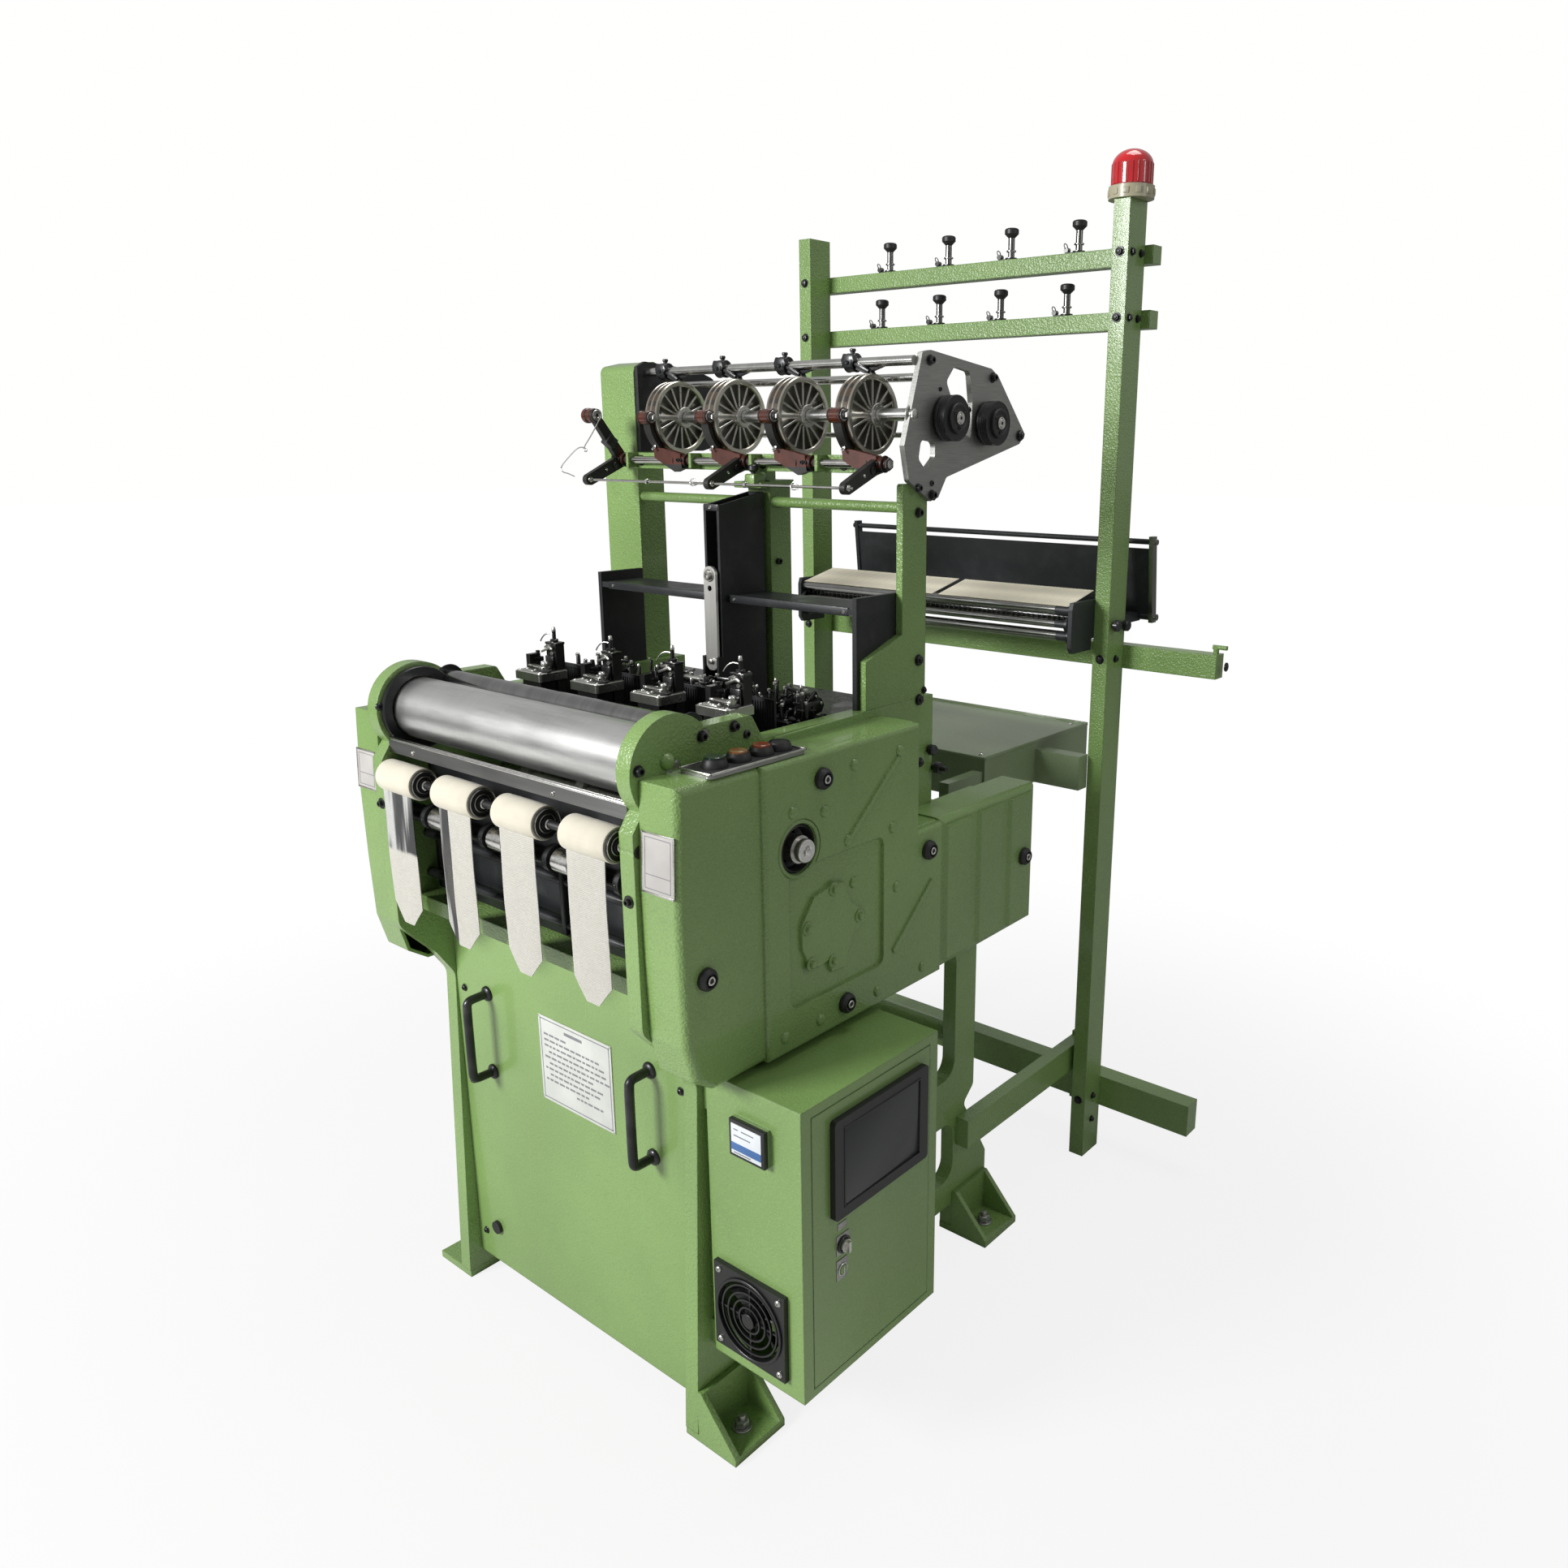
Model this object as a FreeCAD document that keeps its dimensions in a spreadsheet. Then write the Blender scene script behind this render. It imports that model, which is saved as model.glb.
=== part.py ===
import FreeCAD, Part
import os
import re
import Sketcher

# Four-head narrow-fabric needle loom.
# X runs across the machine to the operator's right, Y runs from the operator to the creel, Z is up.
# The origin is the centre of the four floor bolts, on the floor.

V = FreeCAD.Vector
doc = FreeCAD.newDocument("needle_loom")

# ---------------------------------------------------------------- sizes, in millimetres
SIZES = {
    # side frames: two cast plates with a cheek disc round the take-up drum
    "frame_half": 291, "frame_left": 303, "plate_t": 26, "front_y": -425, "belly_z": 668, "throat_y": -368,
    "throat_z": 606, "leg_front_top": -338, "leg_front_foot": -362, "leg_rear_foot": -262,
    "rail_low": 60, "frame_top": 1012, "frame_rear": 330, "rear_top": 826, "ear_top": 1047,
    "ear_front": -318, "ear_rear": -218, "rear_leg_in": 262, "rear_leg_out": 322,
    "rear_foot_out": 366, "web_low": 228, "web_high": 316, "window_top": 560,
    "window_front": -242, "lower_sill": 113, "window_r": 32, "cheek_r": 69,
    # feet and floor bolts
    "foot_pitch_y": 622, "foot_w": 75, "foot_len": 100, "foot_high": 84, "foot_base": 12,
    "foot_wall": 9, "floor_hole_r": 8,
    # take-up drum, press roller, nose bar
    "drum_y": -356, "drum_z": 1003, "drum_r": 46, "journal_r": 12, "run_gap": 0.3,
    "press_r": 17, "press_gap": 0.4, "press_y": -302, "nose_y": -411, "nose_z": 962,
    "nose_high": 18, "nose_deep": 22,
    # the four lanes
    "lane_pitch": 137.5, "lane_shift": 6,
    # tape rolls, tapes, guide rod
    "roll_y": -416, "roll_z": 910, "roll_r": 24, "roll_len": 98, "roll_hub_r": 19,
    "roll_spindle_r": 8, "tape_w": 76, "tape_t": 1.6, "tape_top": 889, "tape_tip": 686,
    "tape_point": 30, "tape_first": 42.5, "tape_last": 64.5, "roll_lead": 2, "seat_gap": 0.3,
    "guide_y": -402, "guide_z": 857, "guide_r": 13,
    "collar_r": 19, "collar_w": 10,
    # beams and the bed
    "front_beam_z": 712, "front_beam_high": 24, "front_beam_y": -346, "front_beam_deep": 42,
    "bed_z": 992, "bed_t": 12, "bed_front": -262, "bed_rear": 176, "slot_front": -158,
    "slot_rear": -92, "tie_r": 18,
    # front panel and handles
    "panel_y": -333, "panel_t": 3, "panel_low": 44, "panel_top": 680, "grip_x": 193,
    "grip_z": 480, "grip_span": 136, "grip_r": 7, "grip_out": 38,
    # side covers
    "cover_gap": 0.3, "cover_deep": 76, "cover_step": 7, "cover_wall": 5, "cover_top": 1000,
    "cover_front": -418, "cover_low": 590, "cover_rear": 52, "neck_rear": 112,
    "neck_top": 836, "step_y": -276, "cover_r": 12, "rear_cover_end": 387,
    "recess_front": -232, "recess_rear": -34, "recess_low": 652, "recess_top": 850,
    "recess_deep": 5, "gear_y": -133, "gear_z": 751, "gear_high": 5, "rib_w": 9, "rib_high": 3,
    "lip_t": 7, "lip_high": 13, "eye_y": -211, "eye_z": 876, "eye_r": 34, "crease": 5,
    "main_r": 14, "shaft_out": 11,
    # push buttons on top of the right cover
    "switch_y": -271, "switch_len": 172, "switch_w": 58, "switch_t": 4, "button_r": 12,
    "button_high": 13, "button_travel": 4, "button_pitch": 41, "button_in": 38,
    # control box
    "box_gap": 11, "box_w": 171, "box_front": -332, "box_rear": -42, "box_low": 146,
    "box_top": 582, "box_wall": 2, "door_front": -313, "door_rear": -60, "door_low": 158,
    "door_top": 568, "door_t": 3, "door_gap": 1.5, "hinge_gap": 0.2, "screen_w": 202, "screen_high": 147,
    "screen_y": -176, "screen_z": 473, "screen_t": 9, "key_y": -253, "key_z": 352,
    "key_r": 9, "guard_w": 132, "guard_in": 77, "guard_z": 236, "guard_t": 8, "fan_r": 54,
    "meter_w": 64, "meter_high": 53, "meter_in": 86, "meter_z": 513,
    # columns and head
    "col_y": 103, "col_deep": 58, "col_inset": 12, "col_beside": 75, "col_left_top": 1522,
    "col_low": 842, "col_t": 12, "col_top": 1334, "wedge_y": 18, "wedge_z": 1084, "head_plate_t": 9,
    "head_t": 8, "mid_col_w": 48, "mid_col_deep": 47, "mid_col_top": 1326, "rail_y": 113,
    "rail_z": 1300, "rail_r": 8, "bar_t": 10, "bar_z": 1348, "bar_high": 26, "bar_end": 250,
    "bar_lap": 9, "shaft_y": 115, "shaft_z": 1431, "shaft_r": 9, "wheel_r": 56, "wheel_w": 26,
    "rim_t": 5, "spoke_w": 3, "hub_r": 15, "rod_a_y": 127, "rod_a_z": 1506, "rod_a_r": 7,
    "rod_b_y": 168, "rod_b_z": 1485, "rod_c_y": 182, "rod_c_z": 1403, "rod_c_r": 4,
    "clamp_lead": 36, "pulley_r": 32, "pulley_w": 18, "pulley_a_y": 191, "pulley_a_z": 1427,
    "pulley_b_y": 300, "pulley_b_z": 1421, "stud_r": 7,
    # press levers
    "lever_y": 81, "lever_z": 1362, "lever_shaft_r": 6, "lever_boss_r": 11, "lever_out": 15,
    "lever_lag": 50, "lever_arm_w": 16, "presser_r": 10, "presser_z": 1430, "presser_w": 24,
    "eye_roller_y": 26, "eye_roller_z": 1434, "thin_rod_y": 8, "thin_rod_z": 1330, "thin_rod_r": 2,
    # harness guide
    "guide_front": -3, "guide_rear": 95, "end_front": 11, "end_t": 8, "end_top": 1176,
    "shelf_z": 1160, "shelf_t": 9, "chan_w": 34, "chan_wall": 5, "chan_top": 1304,
    "link_w": 26, "link_t": 5, "link_low": 1043, "link_top": 1206,
    # weft heads, needles, reed sley
    "weft_y": -184, "weft_w": 66, "weft_deep": 54, "weft_z": 1043, "weft_t": 12,
    "needle_r": 5, "needle_len": 44, "needle_t": 3, "sley_y": -125, "sley_pivot_z": 846,
    "sley_top": 1046, "sley_shaft_r": 11, "reed_w": 78, "reed_high": 52, "reed_t": 4,
    # creel
    "post_beside": 64, "post_beside_left": 80, "post_w": 30, "post_y": 625, "post_deep": 60, "post_t": 2.5,
    "post_top": 1784, "rail_deep": 30, "top_rail_z": 1686, "low_rail_z": 1582,
    "creel_rail_high": 30, "mid_rail_z": 990, "mid_rail_high": 43, "mid_rail_end": 536,
    "base_z": 90, "base_high": 64, "base_deep": 40, "base_end": 546, "link_beam_z": 176,
    "link_beam_high": 54, "link_beam_w": 26, "tension_pitch": 142, "tension_x": -208, "tension_shift": -20,
    "cap_r": 13, "pin_high": 46, "pin_r": 6,
    # table behind the bed
    "table_z": 847, "table_t": 3, "table_apron": 78, "table_half": 230, "table_front": 424,
    "table_rear": 790,
    # stop motion and warp sheets
    "stop_y": 545, "stop_deep": 72, "stop_low": 1030, "stop_high": 90, "stop_block": 28,
    "stop_t": 8, "stop_bar_r": 9, "sheet_t": 2, "sheet_gap": 14, "sheet_front": 552,
    "sheet_rear": 640, "sheet_low": 1113, "sheet_high": 1133, "back_low": 1078,
    "back_top": 1206, "back_y": 722, "back_lean": 16, "arm_top": 1228,
    # signal lamp
    "lamp_y": 655, "lamp_r": 38, "lamp_ring": 20, "dome_r": 34,
    "dome_high": 58, "dome_crown": 26,
}

sheet = doc.addObject("Spreadsheet::Sheet", "dims")
for row, (name, value) in enumerate(SIZES.items(), start=1):
    sheet.set("A%d" % row, name)
    sheet.set("B%d" % row, str(value))
    sheet.setAlias("B%d" % row, name)
doc.recompute()

# places that follow from those sizes
FOLLOWS = {
    "cover_out": "frame_half + cover_deep", "main_end": "cover_out + shaft_out",
    "button_x": "frame_half + button_in", "box_in": "frame_half + box_gap",
    "box_out": "box_in + box_w", "guard_x": "box_in + guard_in", "meter_x": "box_in + meter_in",
    "col_left_in": "frame_left - col_inset", "col_left_out": "frame_left + col_beside",
    "head_out": "frame_half + head_plate_t", "lever_x": "-col_left_in - lever_out",
    "post_half": "frame_half + post_beside", "post_left": "frame_left + post_beside_left",
    "stop_half": "post_half - post_w - stop_t",
    "stop_left": "post_left - post_w - stop_block - stop_t", "stop_top": "stop_low + stop_high",
    "lamp_x": "post_half - post_w / 2",
    # the four tapes stand evenly between the two side frames
    "tape_pitch": "(frame_half + frame_left - 2 * plate_t - tape_first - tape_last) / 3",
}
WORD = re.compile(r"[a-z][a-z_]*[a-z]")


def bound(text):
    """The expression with each size name pointing at its cell."""
    def spell(match):
        name = match.group(0)
        if name in FOLLOWS:
            return "(%s)" % bound(FOLLOWS[name])
        return "dims." + name if name in SIZES else name
    return WORD.sub(spell, str(text))


def num(text):
    """The present value of an expression."""
    value = sheet.evalExpression(bound("1 * (%s)" % text))
    return float(getattr(value, "Value", value))


def place(obj, x=None, y=None, z=None):
    """Bind the placement of an object to expressions."""
    for axis, text in (("x", x), ("y", y), ("z", z)):
        if text is not None:
            obj.setExpression("Placement.Base." + axis, bound(text))
    return obj


# ---------------------------------------------------------------- solids from expressions
def box(x0, x1, y0, y1, z0, z1):
    obj = doc.addObject("Part::Box", "block")
    for prop, a, b in (("Length", x0, x1), ("Width", y0, y1), ("Height", z0, z1)):
        obj.setExpression(prop, bound("(%s) - (%s)" % (b, a)))
    return place(obj, x0, y0, z0)


TURN = {"x": FreeCAD.Rotation(V(0, 1, 0), 90), "y": FreeCAD.Rotation(V(1, 0, 0), -90),
        "z": FreeCAD.Rotation()}


def rod(axis, start, end, c1, c2, radius):
    """A cylinder along an axis; c1 and c2 are the other two coordinates in X, Y, Z order."""
    obj = doc.addObject("Part::Cylinder", "rod")
    obj.setExpression("Radius", bound(radius))
    obj.setExpression("Height", bound("(%s) - (%s)" % (end, start)))
    obj.Placement = FreeCAD.Placement(V(), TURN[axis])
    at = {"x": (start, c1, c2), "y": (c1, start, c2), "z": (c1, c2, start)}[axis]
    return place(obj, *at)


def taper(start, end, x, y, r_low, r_high):
    obj = doc.addObject("Part::Cone", "taper")
    obj.setExpression("Radius1", bound(r_low))
    obj.setExpression("Radius2", bound(r_high))
    obj.setExpression("Height", bound("(%s) - (%s)" % (end, start)))
    return place(obj, x, y, start)


def fuse(*parts):
    if len(parts) == 1:
        return parts[0]
    obj = doc.addObject("Part::MultiFuse", "joined")
    obj.Shapes = list(parts)
    obj.Refine = True
    return obj


def cut(base, *tools):
    obj = doc.addObject("Part::Cut", "trimmed")
    obj.Base = base
    obj.Tool = fuse(*tools)
    obj.Refine = True
    return obj


def group(*parts):
    """Separate solids that share one node."""
    obj = doc.addObject("Part::Compound", "group")
    obj.Links = list(parts)
    return obj


def mirrored(source):
    """The same piece on the left side, whose frame stands a little further out."""
    obj = doc.addObject("Part::Mirroring", "mirrored")
    obj.Source = source
    obj.Normal = V(1, 0, 0)
    obj.setExpression("Base.x", bound("(frame_half - frame_left) / 2"))
    return obj


PLANE = {"x": "YZ_Plane", "y": "XZ_Plane", "z": "XY_Plane"}


def outline(axis, points, start, end, rounds=()):
    """A sketched outline padded along an axis; rounds are (corner numbers, radius) pairs."""
    body = doc.addObject("PartDesign::Body", "profile")
    sketch = body.newObject("Sketcher::SketchObject", "outline")
    plane = [f for f in body.Origin.OriginFeatures if f.Role == PLANE[axis]][0]
    sketch.AttachmentSupport = [(plane, "")]
    sketch.MapMode = "FlatFace"
    at = [(num(a), num(b)) for a, b in points]
    count = len(points)
    for i in range(count):
        a, b = at[i], at[(i + 1) % count]
        sketch.addGeometry(Part.LineSegment(V(a[0], a[1], 0), V(b[0], b[1], 0)), False)
    for i in range(count):
        sketch.addConstraint(Sketcher.Constraint("Coincident", i, 2, (i + 1) % count, 1))
    for i, (a, b) in enumerate(points):
        for kind, text, value in (("DistanceX", a, at[i][0]), ("DistanceY", b, at[i][1])):
            c = sketch.addConstraint(Sketcher.Constraint(kind, -1, 1, i, 1, value))
            sketch.setExpression("Constraints[%d]" % c, bound(text))
    pad = body.newObject("PartDesign::Pad", "pad")
    pad.Profile = sketch
    pad.setExpression("Length", bound("(%s) - (%s)" % (end, start)))
    if axis == "y":
        place(body, y=end)
    else:
        place(body, **{axis: start})
    if rounds:
        doc.recompute()
        flat = {"x": lambda p: (p.y, p.z), "y": lambda p: (p.x, p.z), "z": lambda p: (p.x, p.y)}[axis]
        base = pad
        for corners, radius in rounds:
            names = []
            for k, edge in enumerate(base.Shape.Edges, start=1):
                ends = [flat(v.Point) for v in edge.Vertexes]
                if len(ends) == 2 and all(
                        any(abs(e[0] - at[c][0]) + abs(e[1] - at[c][1]) < 1e-4 for c in corners)
                        for e in ends) and abs(ends[0][0] - ends[1][0]) + abs(ends[0][1] - ends[1][1]) < 1e-4:
                    names.append("Edge%d" % k)
            curve = body.newObject("PartDesign::Fillet", "rounded")
            curve.Base = (base, names)
            curve.setExpression("Radius", bound(radius))
            doc.recompute()
            base = curve
    return body


PIECES = {}


def piece(name, obj):
    """Give a finished sub-part its name."""
    obj.Label = name
    PIECES[name] = obj
    return obj


def lane(k):
    """The middle of weaving lane k, 0 to 3 from the left."""
    return "(%g * lane_pitch)" % (k - 1.5)


def tape(k):
    """The middle of tape k below the nose bar, 0 to 3 from the left."""
    return "(plate_t - frame_left + tape_first + %d * tape_pitch)" % k


INNER = "(frame_half - plate_t)"
MINUS_INNER = "(plate_t - frame_left)"

# ---------------------------------------------------------------- side frames
FRAME = [("front_y", "drum_z - 70"), ("front_y", "belly_z"), ("throat_y", "throat_z"),
         ("leg_front_top", "window_top"), ("leg_front_foot", "foot_base"),
         ("leg_rear_foot", "foot_base"), ("leg_rear_foot - 6", "rail_low"),
         ("rear_leg_in", "rail_low"), ("rear_leg_in", "foot_base"),
         ("rear_foot_out", "foot_base"), ("rear_foot_out", "lower_sill + 6"),
         ("rear_leg_out - 14", "web_low - 7"), ("rear_leg_out - 30", "web_low + 20"),
         ("rear_leg_out", "web_low + 46"), ("rear_leg_out", "cover_low - 2"),
         ("frame_rear", "cover_low + 10"), ("frame_rear", "rear_top"),
         ("bed_rear + 6", "rear_top"), ("bed_rear + 6", "frame_top"),
         ("ear_rear + 20", "frame_top"), ("ear_rear", "ear_top"), ("ear_front", "ear_top"),
         ("drum_y", "drum_z"), ("drum_y - 50", "drum_z - 42")]


def side_frame():
    wall = outline("x", FRAME, INNER, "frame_half",
                   [((1,), "24"), ((2, 3), "30"), ((10, 11, 12, 13), "12"), ((20,), "8")])
    cheek = rod("x", INNER, "frame_half", "drum_y", "drum_z", "cheek_r")
    upper = outline("x", [("window_front", "web_high"), ("rear_leg_in", "web_high"),
                          ("rear_leg_in", "window_top"), ("window_front", "window_top")],
                    INNER + " - 1", "frame_half + 1", [((0, 1, 2, 3), "window_r")])
    lower = outline("x", [("window_front - 4", "lower_sill"), ("rear_leg_in", "lower_sill"),
                          ("rear_leg_in", "web_low"), ("window_front", "web_low")],
                    INNER + " - 1", "frame_half + 1", [((0, 1, 2, 3), "window_r")])
    holes = [rod("x", INNER + " - 1", "frame_half + 1", y, z, r + " + run_gap") for y, z, r in (
        ("drum_y", "drum_z", "journal_r"), ("press_y", PRESS_Z, "journal_r - 5"),
        ("roll_y", "roll_z", "roll_spindle_r"), ("eye_y", "eye_z", "main_r"),
        ("sley_y", "sley_pivot_z", "sley_shaft_r"))]
    return cut(fuse(wall, cheek), upper, lower, *holes)


# the press roller lies on the drum: its height follows from both radii
PRESS_Z = ("(drum_z + sqrt((drum_r + press_r + press_gap) ^ 2 - (press_y - drum_y) ^ 2))")

frame_right = piece("side_frame_right", side_frame())
piece("side_frame_left", mirrored(frame_right))

# ---------------------------------------------------------------- feet
FOOT_FRONT = "(-foot_pitch_y / 2)"
FOOT_REAR = "(foot_pitch_y / 2)"


def wedge_foot(y):
    """A cast foot: base, back wall against the frame and two sloping cheeks round a pocket."""
    y0, y1 = "%s - foot_len / 2" % y, "%s + foot_len / 2" % y
    base = box(INNER, "frame_half + foot_w", y0, y1, "0", "foot_base")
    back = box("frame_half", "frame_half + foot_wall", y0, y1, "0", "foot_high")
    cheeks = [outline("y", [("frame_half", "0"), ("frame_half + foot_w", "0"),
                            ("frame_half + foot_w", "foot_base"),
                            ("frame_half + foot_wall", "foot_high"), ("frame_half", "foot_high")],
                      a, b) for a, b in ((y0, y0 + " + foot_wall"), (y1 + " - foot_wall", y1))]
    hole = rod("z", "-1", "foot_base + 1", "frame_half + foot_w / 2", y, "floor_hole_r")
    return cut(fuse(base, back, *cheeks), hole)


def flat_foot(y):
    pad = box("-frame_half - foot_w", MINUS_INNER, "%s - foot_len / 2" % y, "%s + foot_len / 2" % y,
              "0", "foot_base")
    rib = outline("y", [("-frame_left - foot_w / 5", "foot_base"), ("-frame_left", "foot_base"),
                        ("-frame_left", "foot_high / 2")], "%s - foot_wall / 2" % y,
                  "%s + foot_wall / 2" % y)
    hole = rod("z", "-1", "foot_base + 1", "-frame_half - foot_w / 2", y, "floor_hole_r")
    return cut(fuse(pad, rib), hole)


piece("feet_right", fuse(wedge_foot(FOOT_FRONT), wedge_foot(FOOT_REAR)))
piece("feet_left", fuse(flat_foot(FOOT_FRONT), flat_foot(FOOT_REAR)))

# ---------------------------------------------------------------- drum and rollers
DRUM = (MINUS_INNER + " + 2", INNER + " - 2")


def journalled(start, end, y, z, radius, neck, reach="4"):
    """A roller with a thinner journal through both side frames."""
    return fuse(rod("x", start, end, y, z, radius),
                rod("x", "-frame_left - " + reach, "frame_half + " + reach, y, z, neck))


piece("take_up_drum", journalled(*DRUM, "drum_y", "drum_z", "drum_r", "journal_r", "0"))
piece("press_roller", journalled(*DRUM, "press_y", PRESS_Z, "press_r", "journal_r - 5", "0"))
piece("nose_bar", outline("x", [
    ("nose_y", "nose_z - nose_high"), ("nose_y + nose_deep", "nose_z - nose_high + 4"),
    ("nose_y + nose_deep", "nose_z - 3"), ("nose_y + 3", "nose_z + 2"), ("nose_y", "nose_z")],
    MINUS_INNER, INNER))

# four rolls side by side on one spindle, each with a smaller black hub disc on its right
rolls = [rod("x", "-frame_left", "frame_half", "roll_y", "roll_z", "roll_spindle_r")]
for k in range(4):
    left = "(%s - tape_w / 2 - roll_lead)" % tape(k)
    rolls.append(rod("x", left, left + " + roll_len - 8", "roll_y", "roll_z", "roll_r"))
    rolls.append(rod("x", left + " + roll_len - 8", left + " + roll_len", "roll_y", "roll_z",
                     "roll_hub_r"))
piece("tape_rolls", fuse(*rolls))

guide = [rod("x", MINUS_INNER, INNER, "guide_y", "guide_z", "guide_r")]
for k in range(4):
    # the first tape runs close beside the side frame and has no collar there
    for side in (("- 1", "+ 1") if k else ("+ 1",)):
        middle = "%s %s * (tape_w / 2 + collar_w / 2 + 3)" % (tape(k), side)
        guide.append(rod("x", middle + " - collar_w / 2", middle + " + collar_w / 2", "guide_y",
                         "guide_z", "collar_r"))
piece("guide_rod", fuse(*guide))

# the woven tapes hang from under the rolls and end in a point
tapes = []
for k in range(4):
    x = tape(k)
    x0, x1 = x + " - tape_w / 2", x + " + tape_w / 2"
    hang = "(roll_y - sqrt((roll_r + seat_gap) ^ 2 - (roll_z - tape_top) ^ 2))"
    tapes.append(outline("y", [(x0, "tape_top"), (x0, "tape_tip + tape_point"),
                               (x + " - tape_w / 6", "tape_tip"), (x + " + tape_w / 6", "tape_tip"),
                               (x1, "tape_tip + tape_point"), (x1, "tape_top")],
                         hang + " - tape_t", hang))
piece("woven_tapes", fuse(*tapes))

# ---------------------------------------------------------------- beams, deck, front panel
beams = [box(MINUS_INNER, INNER, "front_beam_y - front_beam_deep", "front_beam_y",
             "front_beam_z - front_beam_high", "front_beam_z"),
         rod("x", MINUS_INNER, INNER, "rear_leg_in + 30", "web_high + 60", "tie_r"),
         box(MINUS_INNER, INNER, "frame_rear - 40", "frame_rear - 10", "rear_top - 86", "rear_top - 36"),
         rod("x", MINUS_INNER, INNER, "leg_rear_foot - 30", "web_low + 40", "tie_r")]
piece("cross_beams", fuse(*beams))

deck = box(MINUS_INNER, INNER, "bed_front", "bed_rear", "bed_z - bed_t", "bed_z")
slot = box(MINUS_INNER + " + 16", INNER + " - 16", "slot_front", "slot_rear", "bed_z - bed_t - 1",
           "bed_z + 1")
piece("bed_deck", cut(deck, slot))

panel = box(MINUS_INNER + " + seat_gap", INNER + " - seat_gap", "panel_y - panel_t", "panel_y", "panel_low",
            "panel_top")
piece("front_panel", panel)
grips = []
for side in ("-", "+"):
    x = "(%s grip_x)" % side if side == "-" else "(grip_x)"
    face = "(panel_y - panel_t)"
    for end in ("-", "+"):
        z = "(grip_z %s grip_span / 2)" % end
        grips.append(rod("y", face + " - grip_out", face, x, z, "grip_r"))
        grips.append(rod("y", face + " - 5", face, x, z, "grip_r * 1.7"))
    grips.append(rod("z", "grip_z - grip_span / 2 - grip_r", "grip_z + grip_span / 2 + grip_r", x,
                     face + " - grip_out", "grip_r"))
piece("panel_handles", fuse(*grips))

# ---------------------------------------------------------------- side covers
COVER = [("cover_front + 6", "cover_top"), ("cover_front", "cover_top - 130"),
         ("cover_front + 1", "cover_low + 176"), ("cover_front + 4", "cover_low + 74"),
         ("cover_front + 18", "cover_low + 22"), ("cover_front + 50", "cover_low"),
         ("neck_rear", "cover_low"), ("neck_rear", "neck_top"), ("cover_rear", "neck_top"),
         ("cover_rear", "cover_top")]


def inset(points, by):
    """The same outline moved in towards its middle, for the hollow inside a cover."""
    at = [(num(a), num(b)) for a, b in points]
    count, moved = len(at), []
    for i in range(count):
        (ax, ay), (bx, by_), (cx, cy) = at[i - 1], at[i], at[(i + 1) % count]
        la, lb = ((bx - ax) ** 2 + (by_ - ay) ** 2) ** 0.5, ((cx - bx) ** 2 + (cy - by_) ** 2) ** 0.5
        na, nb = ((ay - by_) / la, (bx - ax) / la), ((by_ - cy) / lb, (cx - bx) / lb)
        sx, sy = na[0] + nb[0], na[1] + nb[1]
        scale = 2 / (sx * sx + sy * sy)
        moved.append(("%s + %.6f * %s" % (points[i][0], sx * scale, by),
                      "%s + %.6f * %s" % (points[i][1], sy * scale, by)))
    return moved


def cover(points, face):
    """A deep pressed cover, open towards the side frame, with rounded outer edges."""
    shell = outline("x", points, "frame_half + cover_gap", face)
    pad = shell.Tip
    doc.recompute()
    x = num(face)
    edges = ["Edge%d" % k for k, e in enumerate(pad.Shape.Edges, start=1)
             if all(abs(v.Point.x + shell.Placement.Base.x - x) < 1e-4 for v in e.Vertexes)
             or all(abs(v.Point.x - x) < 1e-4 for v in e.Vertexes)]
    soft = shell.newObject("PartDesign::Fillet", "soft_edges")
    soft.Base = (pad, edges)
    soft.setExpression("Radius", bound("cover_r"))
    hollow = outline("x", inset(points, "cover_wall"), "frame_half + cover_gap - 1",
                     face + " - cover_wall")
    return cut(shell, hollow)


FACE = "(cover_out - cover_step)"
RAISED = [("step_y", "cover_top - 1"), ("step_y", "cover_low + 1"), ("neck_rear - 1", "cover_low + 1"),
          ("neck_rear - 1", "neck_top - 1"), ("cover_rear - 1", "neck_top - 1"),
          ("cover_rear - 1", "cover_top - 1")]
RECESS = [("recess_front", "recess_top"), ("recess_front", "recess_low"),
          ("recess_rear", "recess_low"), ("recess_rear", "recess_top")]


def raised_panel():
    field = outline("x", RAISED, FACE + " - cover_r", "cover_out")
    pad = field.Tip
    doc.recompute()
    x = num("cover_out")
    edges = ["Edge%d" % k for k, e in enumerate(pad.Shape.Edges, start=1)
             if all(abs(v.Point.x + field.Placement.Base.x - x) < 1e-4 for v in e.Vertexes)
             or all(abs(v.Point.x - x) < 1e-4 for v in e.Vertexes)]
    soft = field.newObject("PartDesign::Fillet", "soft_edges")
    soft.Base = (pad, edges)
    soft.setExpression("Radius", bound("cover_step - 0.5"))
    hollow = outline("x", inset(RAISED, "cover_wall"), FACE + " - cover_r - 1",
                     "cover_out - cover_wall - recess_deep")
    return field, hollow


field, field_hollow = raised_panel()
recess = outline("x", RECESS, "cover_out - recess_deep", "cover_out + 1", [((0, 1, 2, 3), "14")])
eye_hole = rod("x", "frame_half", "cover_out + 1", "eye_y", "eye_z", "eye_r")
eye_rim = rod("x", "cover_out - 3", "cover_out + 1", "eye_y", "eye_z", "eye_r + 7")
switch_hole = box("button_x - switch_w / 2 + 7", "button_x + switch_w / 2 - 7",
                  "switch_y - switch_len / 2 + 8", "switch_y + switch_len / 2 - 8",
                  "cover_top - 30", "cover_top + 1")
shell_right = cut(fuse(cover(COVER, FACE), field), field_hollow, recess, eye_hole, eye_rim, switch_hole)

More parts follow.
